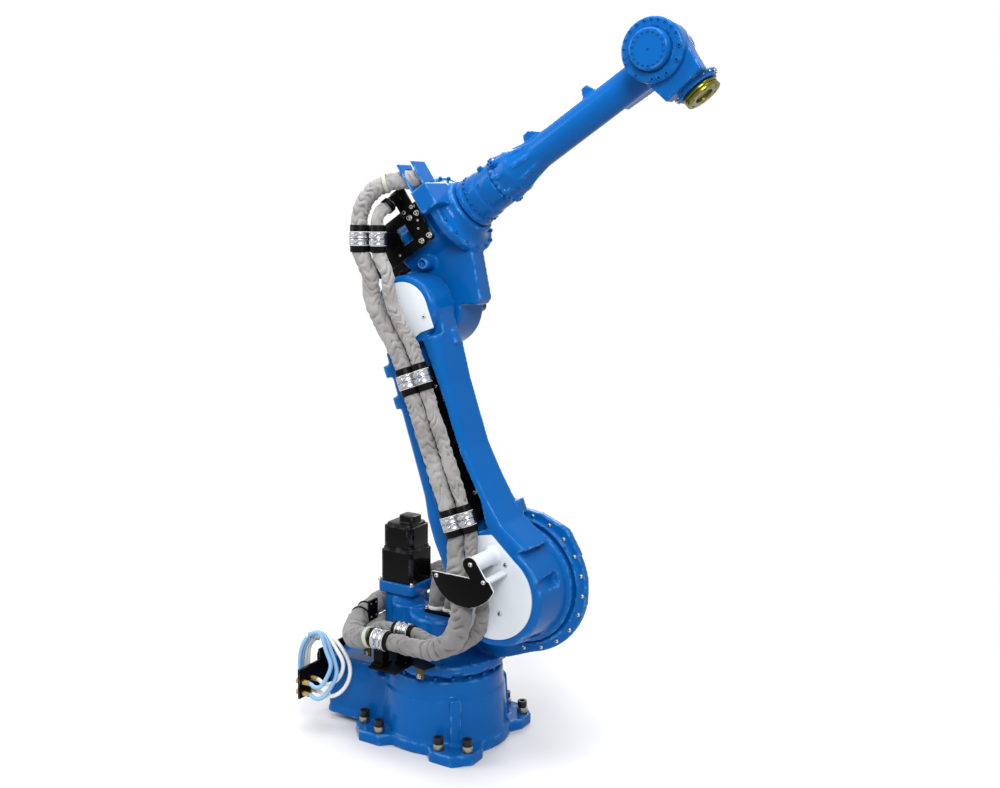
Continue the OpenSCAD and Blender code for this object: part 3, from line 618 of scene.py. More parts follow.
def tube_mesh(name, path, radius_at, sides, material):
    """A closed tube whose radius may change along and around it; UV is turns around and metres along."""
    frames = tube_frames(path)
    bm = bmesh.new()
    uv = bm.loops.layers.uv.new("UVMap")
    rings, reach = [], [0.0]
    for k, (place, (_, side, high)) in enumerate(zip(path, frames)):
        if k:
            reach.append(reach[-1] + (place - path[k - 1]).length)
        ring = []
        for j in range(sides):
            angle = 2 * math.pi * j / sides
            way = side * math.cos(angle) + high * math.sin(angle)
            ring.append(bm.verts.new(place + way * radius_at(k, reach[k], angle, way)))
        rings.append(ring)
    for k in range(len(rings) - 1):
        for j in range(sides):
            n = (j + 1) % sides
            face = bm.faces.new((rings[k][j], rings[k][n], rings[k + 1][n], rings[k + 1][j]))
            face.smooth = True
            for loop, (u, v) in zip(face.loops, ((j, k), (j + 1, k), (j + 1, k + 1), (j, k + 1))):
                loop[uv].uv = (u / sides, reach[v])
    bm.faces.new(rings[0][::-1])
    bm.faces.new(rings[-1])
    return object_from(name, bm, material), reach[-1]


def loop_radii(route, radius, loop):
    """The sleeve is gathered at both ends of a free loop and full between them."""
    last = len(route) - 1
    return [radius if k < 2 or k > last - 2 else loop for k in range(last + 1)]


def girth(radii, where):
    k = min(int(where), len(radii) - 2)
    share = where - k
    share = share * share * (3 - 2 * share)
    return radii[k] * (1 - share) + radii[k + 1] * share


HOSE_SIDES = 48
WIDE_FOLDS, TIGHT_FOLDS = 84, 150  # radians per metre of hose
LEAST_GATHER = 0.36  # share of the folds' depth where the cloth lies smoothest
FLAT_END = 0.045  # length over which the folds fade towards an end
BEND_SPAN = 5  # rings before and after, over which a bend is measured
THREAD_WIDTH = 0.003


def cloth_hose(name, route, radii, seed, first, last):
    """A crumpled woven sleeve: puffed folds that bunch inside a bend and are drawn flat at both ends."""
    step, depth = sizes().hose_step, sizes().wrinkle
    path, where = smooth_route(route, step, first, last)
    end = len(path) - 1
    tangents = [tangent for tangent, _, _ in tube_frames(path)]
    bends = [(tangents[min(k + BEND_SPAN, end)] - tangents[max(k - BEND_SPAN, 0)]) / (2 * BEND_SPAN * step)
             for k in range(end + 1)]
    # Crease shading: near 1 on the crests and low in the valleys between the folds, where the sleeve's colour is
    # darkened as painted shade.
    crease_shading = []

    def radius_at(k, reach, angle, way):
        x, y = math.cos(angle), math.sin(angle)

        def cloud(along, around, shift):
            return noise.noise(Vector((along, x * around + seed, y * around + shift)))

        drift = cloud(reach * 8, 0.8, 0)
        slow = cloud(reach * 12, 0.5, 9)
        patch = cloud(reach * 17, 1.2, 21)
        small = cloud(reach * 60 + drift * 3, 1.6, 33)
        radius = girth(radii, where[k])
        inside = max(0.0, bends[k].dot(way)) * radius
        ends = min(1.0, (min(reach, step * end - reach) + 0.004) / FLAT_END)
        bunch = min(1.0, max(0.0, 0.5 + 1.7 * noise.noise(Vector((reach * 5, seed * 3, 0.5)))))
        wide = abs(math.sin(reach * WIDE_FOLDS + drift * 5.5 + 1.1 * math.sin(angle + 5 * seed + 2 * drift)))
        tight = abs(math.sin(reach * TIGHT_FOLDS + drift * 5 + patch * 1.2 + 0.8 * math.sin(angle + seed)))
        pleat = wide * (1 - bunch) + (0.45 * wide + 0.55 * tight) * bunch
        gather = min(1.0, max(LEAST_GATHER, 0.58 + 1.2 * patch + 0.4 * bunch) + 1.4 * inside)
        crease_shading.append(1 - gather * (1 - pleat))
        folds = gather * (pleat - 0.6) + 0.5 * small + 0.9 * slow
        return radius + depth * folds * (0.2 + 0.8 * ends)

    threads = round(2 * math.pi * max(radii) / THREAD_WIDTH)
    tone = LOOP_TONE if max(radii) > radii[0] else 1.0
    cloth = hose_cloth(f"hose_cloth_{threads}", threads, tone)
    obj, length = tube_mesh(name, path, radius_at, HOSE_SIDES, cloth)
    obj.data.attributes.new("crease_shade", "FLOAT", "POINT").data.foreach_set("value", crease_shading)
    return obj, path, length


class HosesBuild(bpy.types.Operator):
    """Woven cable hoses of the turntable, lower arm, elbow and upper arm"""

    bl_idname = "robot.hoses"
    bl_label = "Cable hoses"

    def execute(self, context):
        heights = [ARM_HOSES_FROM + (ARM_HOSES_TO - ARM_HOSES_FROM) * k / 4 for k in range(5)]
        for label, r, loop, seed, end, on_arm, table, low, cross, top in (
                ("large", HOSE_D / 2, LOOP_R, 1.3, FORE, BIG_ON_ARM, BIG_TABLE, BIG_LOW, BIG_CROSS, BIG_TOP),
                ("small", SLIM_D / 2, SLIM_LOOP_R, 7.7, None, SLIM_ON_ARM, SLIM_TABLE, SLIM_LOW, SLIM_CROSS,
                 SLIM_TOP)):
            arm = [lower_arm_spot(*on_arm, z) for z in heights]
            for part, route, full, shift, first, last, bodies in (
                    ("table", table, loop, 0, UP, FORWARD, ["turntable"]),
                    ("shoulder", low, loop, 3, FORWARD, ARM_UP, ["turntable", "lower_arm"]),
                    ("arm", arm, r, 5, ARM_UP, ARM_UP, ["lower_arm"]),
                    ("elbow", cross, r, 9, ARM_UP, UP, ["lower_arm", "upper_arm"]),
                    ("top", top, r, 11, UP, end, ["upper_arm"])):
                obj, path, length = cloth_hose(
                    f"{label}_hose_{part}", route, loop_radii(route, r, full), seed + shift, first, last)
                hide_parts(f"{part}_hoses")
                if len(bodies) == 1:
                    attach(obj, bodies[0])
                else:
                    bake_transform(obj)
        return {"FINISHED"}


TUBE_SIDES = 16
TUBE_STEP = 0.006
TUBE_STRAIGHT = 4  # rings that stay straight at the fitting
TUBE_EASED_TO = 4.6  # place in the route where the easing ends
TUBE_EASING = 30


def air_route(y, z, x, side, top):
    return [(-0.398, y, z), (-0.352, y + 0.002, z - 0.018), (x - 0.028, y + 0.026, z + 0.008), (x, side, z + 0.080),
            (x - 0.024, side, 0.310), (-0.376, side, top), (-0.430, side, top - 0.020), (-0.472, side, 0.300),
            (-0.480, side, 0.180)]


def eased(path, first, last, times):
    """The path with its bends drawn out between two of its points."""
    path = list(path)
    for _ in range(times):
        path[first + 1:last] = [(a + b * 2 + c) / 4 for a, b, c in zip(
            path[first:last - 1], path[first + 1:last], path[first + 2:last + 1])]
    return path


class AirTubesBuild(bpy.types.Operator):
    """Blue and white air tubes at the base"""

    bl_idname = "robot.air_tubes"
    bl_label = "Air tubes"

    def execute(self, context):
        for name, spot, x, side, top, colour in (
                ("air_tube_blue_upper", (-0.338, 0.200), -0.318, -0.296, 0.392, "blue"),
                ("air_tube_white_upper", (-0.288, 0.201), -0.288, -0.260, 0.376, "white"),
                ("air_tube_blue_lower", (-0.338, 0.156), -0.308, -0.278, 0.384, "blue"),
                ("air_tube_white_lower", (-0.288, 0.155), -0.272, -0.241, 0.368, "white")):
            path, where = smooth_route(air_route(*spot, x, side, top), TUBE_STEP, FORWARD)
            last = next(k for k, place in enumerate(where) if place >= TUBE_EASED_TO)
            path = eased(path, TUBE_STRAIGHT, last, TUBE_EASING)
            plastic = finish(f"air_tube_{colour}")
            obj, length = tube_mesh(name, path, lambda *given: AIR_D / 2, TUBE_SIDES, plastic)
            put(obj, "base", f"{colour}_tube", f"{colour}_air_tubes")
        return {"FINISHED"}


class CastingsBuild(bpy.types.Operator):
    """The painted cast bodies"""

    bl_idname = "robot.castings"
    bl_label = "Castings"

    def execute(self, context):
        for name, node, fineness in (
                ("base_body", "base_casting", 1), ("turntable_body", "turntable_casting", 1),
                ("lower_arm_body", "lower_arm_casting", 1), ("upper_arm_body", "upper_arm_casting", 1),
                ("forearm_body", "forearm_casting", 0.8), ("wrist_body", "wrist_housing", 0.7),
                ("wrist_cap_body", "wrist_cover", 0.6), ("top_frame_plates", "top_frame", 0.6)):
            cast(name, node, sizes().voxel * fineness)
        return {"FINISHED"}


# Name, CAD node and edge rounding of each motor piece.
MOTORS = (
    ("turning_motor_body", "turning_motor", 0.004), ("turning_motor_end", "turning_motor_cap", 0.008),
    ("shoulder_motor_body", "shoulder_motor", 0.004), ("shoulder_motor_end", "shoulder_motor_cap", 0.008),
    ("roll_motor_body", "roll_motor", 0.004), ("elbow_motor_body", "elbow_motor", 0.004))
# Name, CAD node, finish, slot and edge rounding of each plate or cover; no rounding given means the setting's.
PLATES = (
    ("shoulder_cover_moulding", "shoulder_cover", "cover_plastic", "white_plastic", 0.003),
    ("elbow_cover_moulding", "elbow_cover", "cover_plastic", "white_plastic", 0.003),
    ("guide_post_moulding", "guide_post", "cover_plastic", "white_plastic", 0.003),
    ("guide_bracket_bar", "guide_bracket", "cover_plastic", "white_plastic", None),
    ("guide_plate_sheet", "guide_plate", "plate_paint", "black_paint", 0.0026),
    ("cable_plate_sheet", "cable_plate", "plate_paint", "black_paint", None),
    ("hose_bracket_bar", "hose_bracket_plate", "plate_paint", "black_paint", None),
    ("hose_bracket_angles", "hose_bracket_feet", "olive_zinc", "zinc", None),
    ("hose_side_sheet", "hose_side_plate", "plate_paint", "black_paint", None),
    ("connector_sheet", "connector_plate", "plate_paint", "black_paint", None),
    ("connector_housing", "connector_box", "plate_paint", "black_paint", 0.003),
    ("centre_clamp_bar", "centre_clamp", "sleeve_rubber", "clamp_rubber", None),
    ("anchor_spacer_rings", "anchor_spacers", "spacer_zinc", "zinc", None),
    ("anchor_bolt_heads", "anchor_bolts", "black_oxide", "black_steel", None),
    ("fitting_bodies", "brass_fittings", "fitting_brass", "brass", 0.001),
    ("tool_flange_ring", "tool_flange", "flange_passivated", "zinc", 0.001))


class MotorsBuild(bpy.types.Operator):
    """Square motors with their end caps"""

    bl_idname = "robot.motors"
    bl_label = "Motors"

    def execute(self, context):
        for name, node, width in MOTORS:
            rounded_solid(name, node, "motor_paint", "black_paint", width, segments=4)
        return {"FINISHED"}


class PlatesBuild(bpy.types.Operator):
    """Covers, plates and brackets"""

    bl_idname = "robot.plates"
    bl_label = "Covers and plates"

    def execute(self, context):
        for name, node, finish_name, slot, width in PLATES:
            rounded_solid(name, node, finish_name, slot, width or sizes().plate_edge)
        # The guide plate is white round its rim.
        sheet = bpy.data.objects["guide_plate_sheet"].data
        sheet.materials.append(finish("cover_plastic"))
        for face in sheet.polygons:
            face.material_index = int(abs(face.normal.y) < 0.9)
        return {"FINISHED"}


BAND_AT = 0.0245  # from the middle of a clamp
WRAP_AT = 0.0115
SLEEVE_REACH = 0.050
TABLE_SLEEVE_REACH = 0.043


def add_wrap(bm, place, r, reach):
    """Rubber sleeve, white edge bands and two steel wraps with their screw housings."""
    add_lathe(bm, place, [(r - 0.001, -reach), (r + 0.004, -reach), (r + 0.006, 0.003 - reach),
                          (r + 0.006, reach - 0.003), (r + 0.004, reach), (r - 0.001, reach)])
    for z in (-BAND_AT, BAND_AT):
        add_lathe(bm, place, [(r + 0.005, z - 0.0015), (r + 0.0075, z - 0.0015), (r + 0.0075, z + 0.0015),
                              (r + 0.005, z + 0.0015)], material=1)
    along = place.to_3x3() @ UP
    for z in (-WRAP_AT, WRAP_AT):
        outline = ((0.005, -0.0108), (0.0085, -0.0108), (0.0095, -0.0085), (0.0085, -0.006), (0.0085, 0.006),
                   (0.0095, 0.0085), (0.0085, 0.0108), (0.005, 0.0108))
        add_lathe(bm, place, [(r + out, z + high) for out, high in outline], material=2)
        housing = pointing(place @ Vector((0, 0, z)) + OUT * (r + 0.008), OUT, along)
        add_box(bm, housing, (-0.014, -0.006, -0.003), (0.008, 0.006, 0.006), 2)
        add_lathe(bm, housing @ Matrix.Translation((0.008, 0, 0.001)) @ turned(90, "Y"),
                  [(0, -0.001), (0.0048, -0.001), (0.0048, 0.005), (0.003, 0.007), (0, 0.007)], 12, 2)


def add_clamp(name, node, big, slim, saddles, reach=SLEEVE_REACH):
    bm = bmesh.new()
    add_wrap(bm, big, HOSE_D / 2, reach)
    add_wrap(bm, slim, SLIM_D / 2, reach)
    for matrix, low, high in saddles:
        add_box(bm, matrix, low, high, 3)
    finish_names = ("sleeve_rubber", "band_white", "wrap_steel", "plate_paint")
    rounded(name, bm, finish_names, 0.0008, 1, BODY_OF[node], "clamp_rubber", node)


class ClampsBuild(bpy.types.Operator):
    """Hose clamps: rubber sleeves, white bands and steel wraps on a saddle"""

    bl_idname = "robot.clamps"
    bl_label = "Hose clamps"

    def execute(self, context):
        world = Matrix.Identity(4)
        big, slim = (pointing(at, FORWARD) for at in ((-0.070, -0.325, 0.440), (-0.011, -0.262, 0.466)))
        add_clamp("table_hose_clamps", "table_clamp", big, slim, [
            (world, (-0.090, -0.345, 0.346), (-0.050, -0.305, 0.412)),
            (world, (-0.094, -0.357, 0.346), (-0.046, -0.293, 0.356)),
            (world, (-0.031, -0.280, 0.346), (0.009, -0.244, 0.446)),
            (world, (-0.035, -0.288, 0.346), (0.013, -0.236, 0.356))], TABLE_SLEEVE_REACH)
        for name, node, z in (("lower_hose_clamp", "lower_clamp", 0.283),
                              ("upper_hose_clamp", "upper_clamp", ARM_LENGTH - 0.249)):
            big, slim = (LOWER_ARM @ Matrix.Translation((*spot, z)) for spot in (BIG_ON_ARM, SLIM_ON_ARM))
            add_clamp(name, node, big, slim, [(big, (-0.036, 0.028, -0.020), (0.090, 0.077, 0.020))])
        centre = UPPER_ARM @ Matrix.Translation(ELBOW_CLAMP) @ Matrix.Rotation(RISE, 4, "Y")
        big, slim = (centre @ Matrix.Translation((x, 0, 0)) for x in (-CLAMP_HALF, CLAMP_HALF))
        add_clamp("elbow_hose_clamp", "elbow_clamp", big, slim,
                  [(centre, (-0.070, 0.026, -0.020), (0.062, 0.099, 0.020))])
        return {"FINISHED"}


def add_band(bm, route, last, where, r, width, material=0):
    path, places = smooth_route(route, 0.004, UP, last)
    k = next(k for k, place in enumerate(places) if place >= where)
    half = width / 2
    add_lathe(bm, pointing(path[k], path[k + 1] - path[k - 1]), [
        (r - 0.003, -half), (r + 0.001, -half), (r + 0.002, 0), (r + 0.001, half), (r - 0.003, half)], 40, material)


def add_table_straps():
    bm = bmesh.new()
    add_band(bm, BIG_TABLE, FORWARD, 10.84, 0.037, 0.018)
    for where in (7.30, 7.66):
        add_band(bm, BIG_TABLE, FORWARD, where, LOOP_R + 0.003, 0.007, 2)
    for route, r in ((BIG_TABLE, HOSE_D / 2), (SLIM_TABLE, SLIM_D / 2)):
        x, y, _ = route[0]
        add_lathe(bm, Matrix.Translation((x, y, 0.484)), [
            (r - 0.002, -0.002), (r + 0.007, -0.002), (r + 0.007, 0.006), (r + 0.003, 0.012), (r - 0.002, 0.012)],
            40, 1)
    add_box(bm, Matrix.Identity(4), (-0.295, -0.096, 0.398), (-0.286, -0.040, 0.478), 2)
    rounded("table_hose_straps", bm, ["strap_green", "band_white", "plate_paint"], 0.0008, 1,
            "turntable", "white_plastic")


def add_gland():
    bm = bmesh.new()
    add_box(bm, UPPER_ARM, (0.150, -0.144, 0.300), (0.212, -0.136, 0.402))
    r = SLIM_D / 2
    add_lathe(bm, pointing(SLIM_TOP[-1], SLIM_TOP[-1] - SLIM_TOP[-2]), [
        (0, -0.010), (r + 0.003, -0.010), (r + 0.005, -0.008), (r + 0.005, 0.014), (r - 0.001, 0.018),
        (r - 0.001, 0.052), (0, 0.052)], 32)
    rounded("slim_hose_gland", bm, ["plate_paint"], 0.0012, 2, "upper_arm", "black_paint")


def add_tube_tie():
    """A flat loop round the four air tubes."""
    bm = bmesh.new()
    slope = Matrix.Translation((-0.430, -0.2685, 0.360)) @ turned(-23.6, "X")
    half, long, high, thick = 0.003, 0.042, 0.0115, 0.002
    for low_y, high_y, low_z, high_z in (
            (-long, long, high - thick, high), (-long, long, -high, thick - high),
            (-long, thick - long, -high, high), (long - thick, long, -high, high)):
        add_box(bm, slope, (-half, low_y, low_z), (half, high_y, high_z))
    rounded("air_tube_tie", bm, ["band_white"], 0.0004, 1, "base", "white_plastic")


def add_drum_panel():
    back, front, inner, outer = 0.446, 0.503, 0.078, 0.0875
    first, sweep = -47, 63  # degrees
    steps = 18
    outline = ((back, inner), (front, inner), (front, outer), (back, outer))
    bm = bmesh.new()
    rings = [[bm.verts.new(drum_spot(x, r, first + sweep * k / steps)[0]) for x, r in outline]
             for k in range(steps + 1)]
    for low, high in zip(rings, rings[1:]):
        for k in range(4):
            bm.faces.new((low[k], low[(k + 1) % 4], high[(k + 1) % 4], high[k]))
    bm.faces.new(rings[0][::-1])
    bm.faces.new(rings[-1])
    bmesh.ops.recalc_face_normals(bm, faces=bm.faces)
    rounded("drum_panel", bm, ["casting_paint"], 0.0016, 2, "forearm", "blue_paint")


class StrapsBuild(bpy.types.Operator):
    """Ties, straps and rings on the hoses, the slim hose's gland and the panel of the forearm drum"""

    bl_idname = "robot.straps"
    bl_label = "Straps and panel"

    def execute(self, context):
        add_table_straps()
        bm = bmesh.new()
        add_band(bm, BIG_TOP, FORE, 4.55, HOSE_D / 2 + 0.004, 0.014)
        rounded("top_hose_strap", bm, ["strap_green"], 0.0005, 1, "upper_arm", "white_plastic")
        add_gland()
        add_tube_tie()
        add_drum_panel()
        return {"FINISHED"}


def drum_spot(x, radius, degrees):
    """A place on the forearm's round, turned from its outer side towards its top, and its direction."""
    angle = math.radians(degrees)
    way = OUT * math.cos(angle) + FORE_UP * math.sin(angle)
    return FOREARM @ Vector((x, 0, 0)) + way * radius, way


def bolt_tree():
    """Geometry nodes: a socket-head screw on every point, turned to the point's own axis."""
    tree = bpy.data.node_groups.new("Socket screws", "GeometryNodeTree")
    for label, kind, value in (
            ("Points", "Geometry", None), ("Head Diameter", "Float", 0.016), ("Head Height", "Float", 0.010),
            ("Sides", "Int", 20), ("Head Finish", "Material", None), ("Socket Shade Finish", "Material", None)):
        socket = tree.interface.new_socket(name=label, in_out="INPUT", socket_type=f"NodeSocket{kind}")
        if value is not None:
            socket.default_value = value
    tree.interface.new_socket(name="Screws", in_out="OUTPUT", socket_type="NodeSocketGeometry")
    given = add_node(tree, "NodeGroupInput")
    join = tree.nodes.new("GeometryNodeJoinGeometry")
    # Slices of the head: from and to in its height, lower and upper radius in its diameter, finish and sides.
    # The last slice, a near-black hexagon, is painted shade that stands for the socket's hollow.
    for low, high, low_radius, high_radius, label, sides in (
            (-0.1, 0.1, 0.66, 0.66, "Head Finish", given["Sides"]),
            (0.1, 0.85, 0.5, 0.5, "Head Finish", given["Sides"]),
            (0.85, 1.0, 0.5, 0.42, "Head Finish", given["Sides"]), (0.9, 1.02, 0.28, 0.28, "Socket Shade Finish", 6)):
        across, tall = given["Head Diameter"], given["Head Height"]
        cone = add_node(tree, "GeometryNodeMeshCone", {
            "Vertices": sides, "Radius Top": calc(tree, "MULTIPLY", across, high_radius),
            "Radius Bottom": calc(tree, "MULTIPLY", across, low_radius),
            "Depth": calc(tree, "MULTIPLY", tall, high - low)})
        lift = add_node(tree, "ShaderNodeCombineXYZ", {"Z": calc(tree, "MULTIPLY", tall, low)})
        move = add_node(tree, "GeometryNodeTransform", {"Geometry": cone["Mesh"], "Translation": lift[0]})
        paint = add_node(tree, "GeometryNodeSetMaterial", {"Geometry": move[0], "Material": given[label]})
        tree.links.new(paint[0], join.inputs[0])
    axis = add_node(tree, "GeometryNodeInputNamedAttribute", {"Name": "axis"}, data_type="FLOAT_VECTOR")
    turn = add_node(tree, "FunctionNodeAlignRotationToVector", {"Vector": axis[0]}, axis="Z")
    spread = add_node(tree, "GeometryNodeInstanceOnPoints", {
        "Points": given["Points"], "Instance": join.outputs[0], "Rotation": turn[0]})
    solid = add_node(tree, "GeometryNodeRealizeInstances", {0: spread[0]})
    feed(tree, tree.nodes.new("NodeGroupOutput"), {0: solid[0]})
    return tree


SCREW_FINISH = {"zinc": "zinc_plate", "blue_paint": "casting_paint"}
SCREW_SHARP_ANGLE = 40  # degrees


def screw_group(tree, name, body, slot, spots, diameter, height):
    """Screws of one kind on one body; spots are (place, axis) pairs."""
    mesh = bpy.data.meshes.new(name)
    mesh.from_pydata([tuple(place) for place, axis in spots], [], [])
    axes = mesh.attributes.new("axis", "FLOAT_VECTOR", "POINT")
    axes.data.foreach_set("vector", [c for place, axis in spots for c in axis])
    obj = bpy.data.objects.new(name, mesh)
    bpy.context.scene.collection.objects.link(obj)
    screws = obj.modifiers.new("screws", "NODES")
    screws.node_group = tree
    values = {"Head Diameter": diameter, "Head Height": height, "Head Finish": finish(SCREW_FINISH[slot]),
              "Socket Shade Finish": finish("socket_painted_shade")}
    for item in tree.interface.items_tree:
        if item.in_out == "INPUT" and item.name in values:
            screws[item.identifier] = values[item.name]
    apply_modifiers(obj)
    smooth_shade(obj.data, SCREW_SHARP_ANGLE)
    put(obj, body, slot)


def ring_spots(matrix, radius, height, angles):
    """Spots round the matrix's z axis, at angles in degrees."""
    axis = matrix.to_3x3() @ UP
    return [(matrix @ Vector((radius * math.cos(a), radius * math.sin(a), height)), axis)
            for a in map(math.radians, angles)]


def even_angles(count, first):
    return [first + 360.0 * k / count for k in range(count)]


def outward(matrix, y, places):
    """Spots at (x, z) on a face of the -Y side."""
    return [(matrix @ Vector((x, y, z)), OUT) for x, z in places]


def upright(z, columns, rows):
    return [(Vector((x, y, z)), UP) for x in columns for y in rows]


def screw_sets():
    """Name, body, slot, spots, head diameter and head height of every set of screws."""
    # Frames whose z axis leaves the -Y side, or runs along the forearm.
    facing = turned(90, "X")
    table = Matrix.Identity(4)
    flange, head = TURN_ARM @ facing, WRIST_HEAD @ facing
    fore = FOREARM @ turned(90, "Y")
    bracket = Matrix.Translation((-0.084, -0.211, 0)) @ turned(-15, "Z")
    rim = (-104, -74, 80, 95, 111, 126, 140, 155, 172, 190, 208, 226, 244)
    deep = (-37, -23, -6, 26, 54)
    return (
        ("upright_flange_screws", "turntable", "zinc",
         ring_spots(flange, 0.254, 0.0, even_angles(22, 45.8)), 0.012, 0.005),
        ("turntable_rim_screws", "turntable", "blue_paint",
         ring_spots(table, 0.216, 0.338, even_angles(12, 0.0)), 0.012, 0.006),
        ("hose_foot_screws", "turntable", "zinc",
         upright(0.484, (-0.048, 0.060), (-0.051, 0.015)), 0.013, 0.010),
        ("motor_mount_screws", "turntable", "zinc",
         upright(0.555, (-0.271, -0.121), (-0.047, 0.103)), 0.014, 0.012),
        ("bracket_foot_screws", "turntable", "zinc",
         [(bracket @ Vector((x, -0.016, 0.308)), bracket.to_3x3() @ OUT) for x in (-0.152, 0.152)], 0.014, 0.007),
        ("strap_plate_screws", "turntable", "zinc",
         [(Vector((-0.286, y, z)), FORWARD) for y in (-0.084, -0.052) for z in (0.412, 0.464)], 0.006, 0.003),
        ("base_ring_screws", "base", "blue_paint",
         ring_spots(table, 0.208, 0.272, even_angles(20, 5.0)), 0.014, 0.012),
        ("cover_screws", "lower_arm", "zinc", outward(LOWER_ARM, -0.209, (
            (0.096, 0.091), (0.011, -0.070), (-0.118, 0.074), (0.083, ARM_LENGTH - 0.046),
            (-0.070, ARM_LENGTH - 0.078))), 0.013, 0.004),
        ("cable_plate_screws", "lower_arm", "zinc", outward(LOWER_ARM, -0.155, (
            (0.004, 0.768), (0.025, 0.711), (0.028, 0.600), (0.030, 0.480), (0.030, 0.360))), 0.013, 0.007),
        ("guide_plate_screws", "lower_arm", "zinc", outward(table, -0.358, (
            (0.328, 0.800), (0.380, 0.746), (0.191, 0.739))), 0.012, 0.006),
        ("side_plate_screws", "upper_arm", "zinc", outward(UPPER_ARM, -0.136, (
            (0.205, 0.314), (0.166, 0.314), (0.208, 0.286), (0.172, 0.288), (0.210, 0.190), (0.171, 0.190))),
         0.016, 0.012),
        ("side_plate_small_screws", "upper_arm", "zinc", outward(UPPER_ARM, -0.136, (
            (0.182, 0.236), (0.196, 0.262), (0.060, 0.196), (0.030, 0.310))), 0.007, 0.004),
        ("bell_screws", "upper_arm", "blue_paint",
         ring_spots(fore, 0.149, 0.303, even_angles(16, 11.0)), 0.013, 0.006),
        ("drum_rear_screws", "forearm", "blue_paint",
         [drum_spot(0.392, 0.0885, a) for a in range(0, 360, 15)], 0.010, 0.005),
        ("drum_front_screws", "forearm", "blue_paint",
         [drum_spot(0.515, 0.0885, a) for a in range(-75, 285, 15)], 0.010, 0.005),
        ("drum_lugs", "forearm", "blue_paint",
         [drum_spot(0.534, 0.084, 36), drum_spot(0.470, 0.083, 59), drum_spot(0.470, 0.083, 121)], 0.022, 0.012),
        ("wrist_cap_screws", "wrist", "blue_paint",
         ring_spots(head, 0.053, 0.178, even_angles(18, 181.0)) + ring_spots(head, 0, 0.178, [0]), 0.008, 0.003),
        ("wrist_rim_screws", "wrist", "blue_paint", ring_spots(head, 0.094, 0.149, rim), 0.009, 0.004),
        ("wrist_deep_screws", "wrist", "blue_paint", ring_spots(head, 0.094, 0.149, deep), 0.016, 0.004),
        ("flange_collar_screws", "wrist", "zinc", [
            (WRIST_HEAD @ Vector((0.146, 0.076 * math.cos(a), 0.076 * math.sin(a))), TOOL)
            for a in map(math.radians, even_angles(16, 0.0))], 0.008, 0.004))


class FastenersBuild(bpy.types.Operator):
    """Screws and bolts of all bodies"""

    bl_idname = "robot.fasteners"
    bl_label = "Fasteners"

    def execute(self, context):
        tree = bolt_tree()
        for screws in screw_sets():
            screw_group(tree, *screws)
        return {"FINISHED"}


# The camera, as fitted to the photo.
CAMERA_AT = (2.44917, -3.89566, 2.08030)
CAMERA_RIGHT = Vector((0.8285, 0.5600, 0.0))
CAMERA_UP = Vector((-0.0680, 0.1006, 0.9926))
CAMERA_LENS = 44.554
CAMERA_SHIFT = (0.095, -0.054)
FLOOR_RADIUS = 4.5
FLOOR_FADE = (1.0, 3.6)  # distances from the part where the floor begins to clear and is clear
WORLD_LIGHT = 0.42


def add_floor():
    bm = bmesh.new()
    bmesh.ops.create_circle(bm, cap_ends=True, segments=96, radius=FLOOR_RADIUS)
    material, tree, shader = new_material("pale_floor")
    feed(tree, shader, {"Base Color": (0.70, 0.70, 0.71, 1), "Roughness": 0.75})
    place = add_node(tree, "ShaderNodeTexCoord")["Object"]
    away = add_node(tree, "ShaderNodeVectorMath", {0: place}, operation="LENGTH")["Value"]
    clear = add_node(tree, "ShaderNodeBsdfTransparent")[0]
    faded = add_node(tree, "ShaderNodeMixShader", {
        0: ramp(tree, away, *FLOOR_FADE), 1: shader.outputs[0], 2: clear})
    feed(tree, tree.nodes["Material Output"], {"Surface": faded[0]})
    object_from("floor", bm, material)


def add_lamps(scene):
    for name, place, target, size, power in (
            ("key_light", (3.2, -4.4, 4.8), (0.2, 0, 1.6), 2.2, 340),
            ("side_light", (-4.4, -3.0, 3.4), (0, 0, 1.2), 3.0, 150),
            ("back_light", (-1.5, 4.6, 4.4), (0, 0, 1.4), 3.0, 190),
            ("top_light", (0.4, -0.6, 5.4), (0.2, 0, 0.5), 2.6, 170)):
        data = bpy.data.lights.new(name, "AREA")
        data.size, data.energy = size, power
        lamp = bpy.data.objects.new(name, data)
        lamp.location = place
        lamp.rotation_mode = "QUATERNION"
        lamp.rotation_quaternion = (Vector(target) - Vector(place)).to_track_quat("-Z", "Y")
        scene.collection.objects.link(lamp)
    world = bpy.data.worlds.new("studio")
    world.use_nodes = True
    scene.world = world
    tree = world.node_tree
    path = add_node(tree, "ShaderNodeLightPath")
    seen = calc(tree, "MAXIMUM", path["Is Camera Ray"], path["Is Transmission Ray"])
    shown = calc(tree, "MAXIMUM", seen, path["Is Glossy Ray"])
    feed(tree, tree.nodes["Background"], {
        "Color": (1, 1, 1, 1), "Strength": calc(tree, "MAXIMUM", shown, WORLD_LIGHT)})


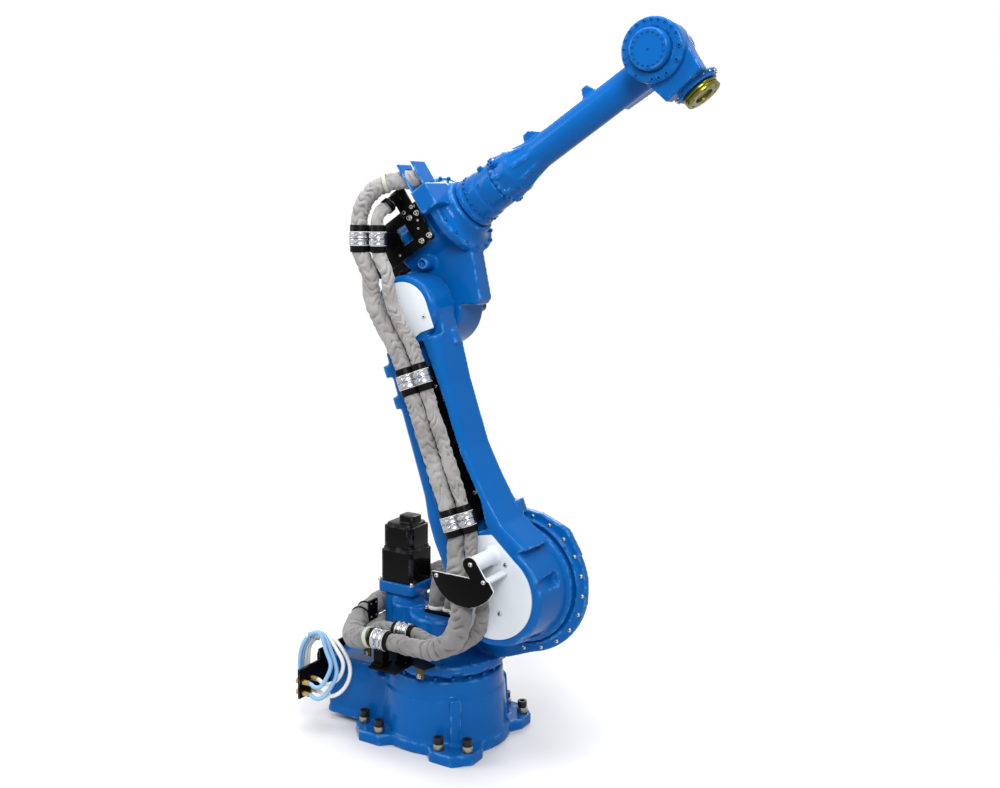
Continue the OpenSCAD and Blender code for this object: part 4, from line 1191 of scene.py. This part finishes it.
class StageBuild(bpy.types.Operator):
    """Camera, floor and soft studio light"""

    bl_idname = "robot.stage"
    bl_label = "Stage"

    def execute(self, context):
        scene = context.scene
        scene.view_settings.view_transform = "Standard"
        data = bpy.data.cameras.new("camera")
        camera = bpy.data.objects.new("camera", data)
        scene.collection.objects.link(camera)
        matrix = Matrix((CAMERA_RIGHT, CAMERA_UP, CAMERA_RIGHT.cross(CAMERA_UP))).transposed().to_4x4()
        matrix.translation = CAMERA_AT
        camera.matrix_world = matrix
        data.sensor_fit, data.sensor_width, data.lens = "HORIZONTAL", 36.0, CAMERA_LENS
        data.shift_x, data.shift_y = CAMERA_SHIFT
        data.clip_end = 100
        scene.camera = camera
        add_floor()
        add_lamps(scene)
        return {"FINISHED"}


class RobotPanel(bpy.types.Panel):
    """Lists the settings and the pieces"""

    bl_idname = "VIEW3D_PT_robot_arm"
    bl_label = "Robot arm"
    bl_space_type = "VIEW_3D"
    bl_region_type = "UI"
    bl_category = "Robot arm"

    def draw(self, context):
        for group in (context.scene.robot_finishes, context.scene.robot_sizes):
            for label in group.__annotations__:
                self.layout.prop(group, label)
        for operator in OPERATORS:
            self.layout.operator(operator.bl_idname)


OPERATORS = (StageBuild, HosesBuild, AirTubesBuild, CastingsBuild, MotorsBuild, PlatesBuild, ClampsBuild, StrapsBuild,
             FastenersBuild)
CLASSES = (FinishSettings, SizeSettings, *OPERATORS, RobotPanel)


def register():
    for kind in CLASSES:
        bpy.utils.register_class(kind)
    bpy.types.Scene.robot_finishes = PointerProperty(type=FinishSettings)
    bpy.types.Scene.robot_sizes = PointerProperty(type=SizeSettings)


def unregister():
    del bpy.types.Scene.robot_sizes
    del bpy.types.Scene.robot_finishes
    for kind in reversed(CLASSES):
        bpy.utils.unregister_class(kind)


def main():
    register()
    bpy.ops.robot.stage()
    bpy.ops.robot.hoses()
    bpy.ops.robot.air_tubes()
    bpy.ops.robot.castings()
    bpy.ops.robot.motors()
    bpy.ops.robot.plates()
    bpy.ops.robot.clamps()
    bpy.ops.robot.straps()
    bpy.ops.robot.fasteners()


if __name__ == "__main__":
    main()
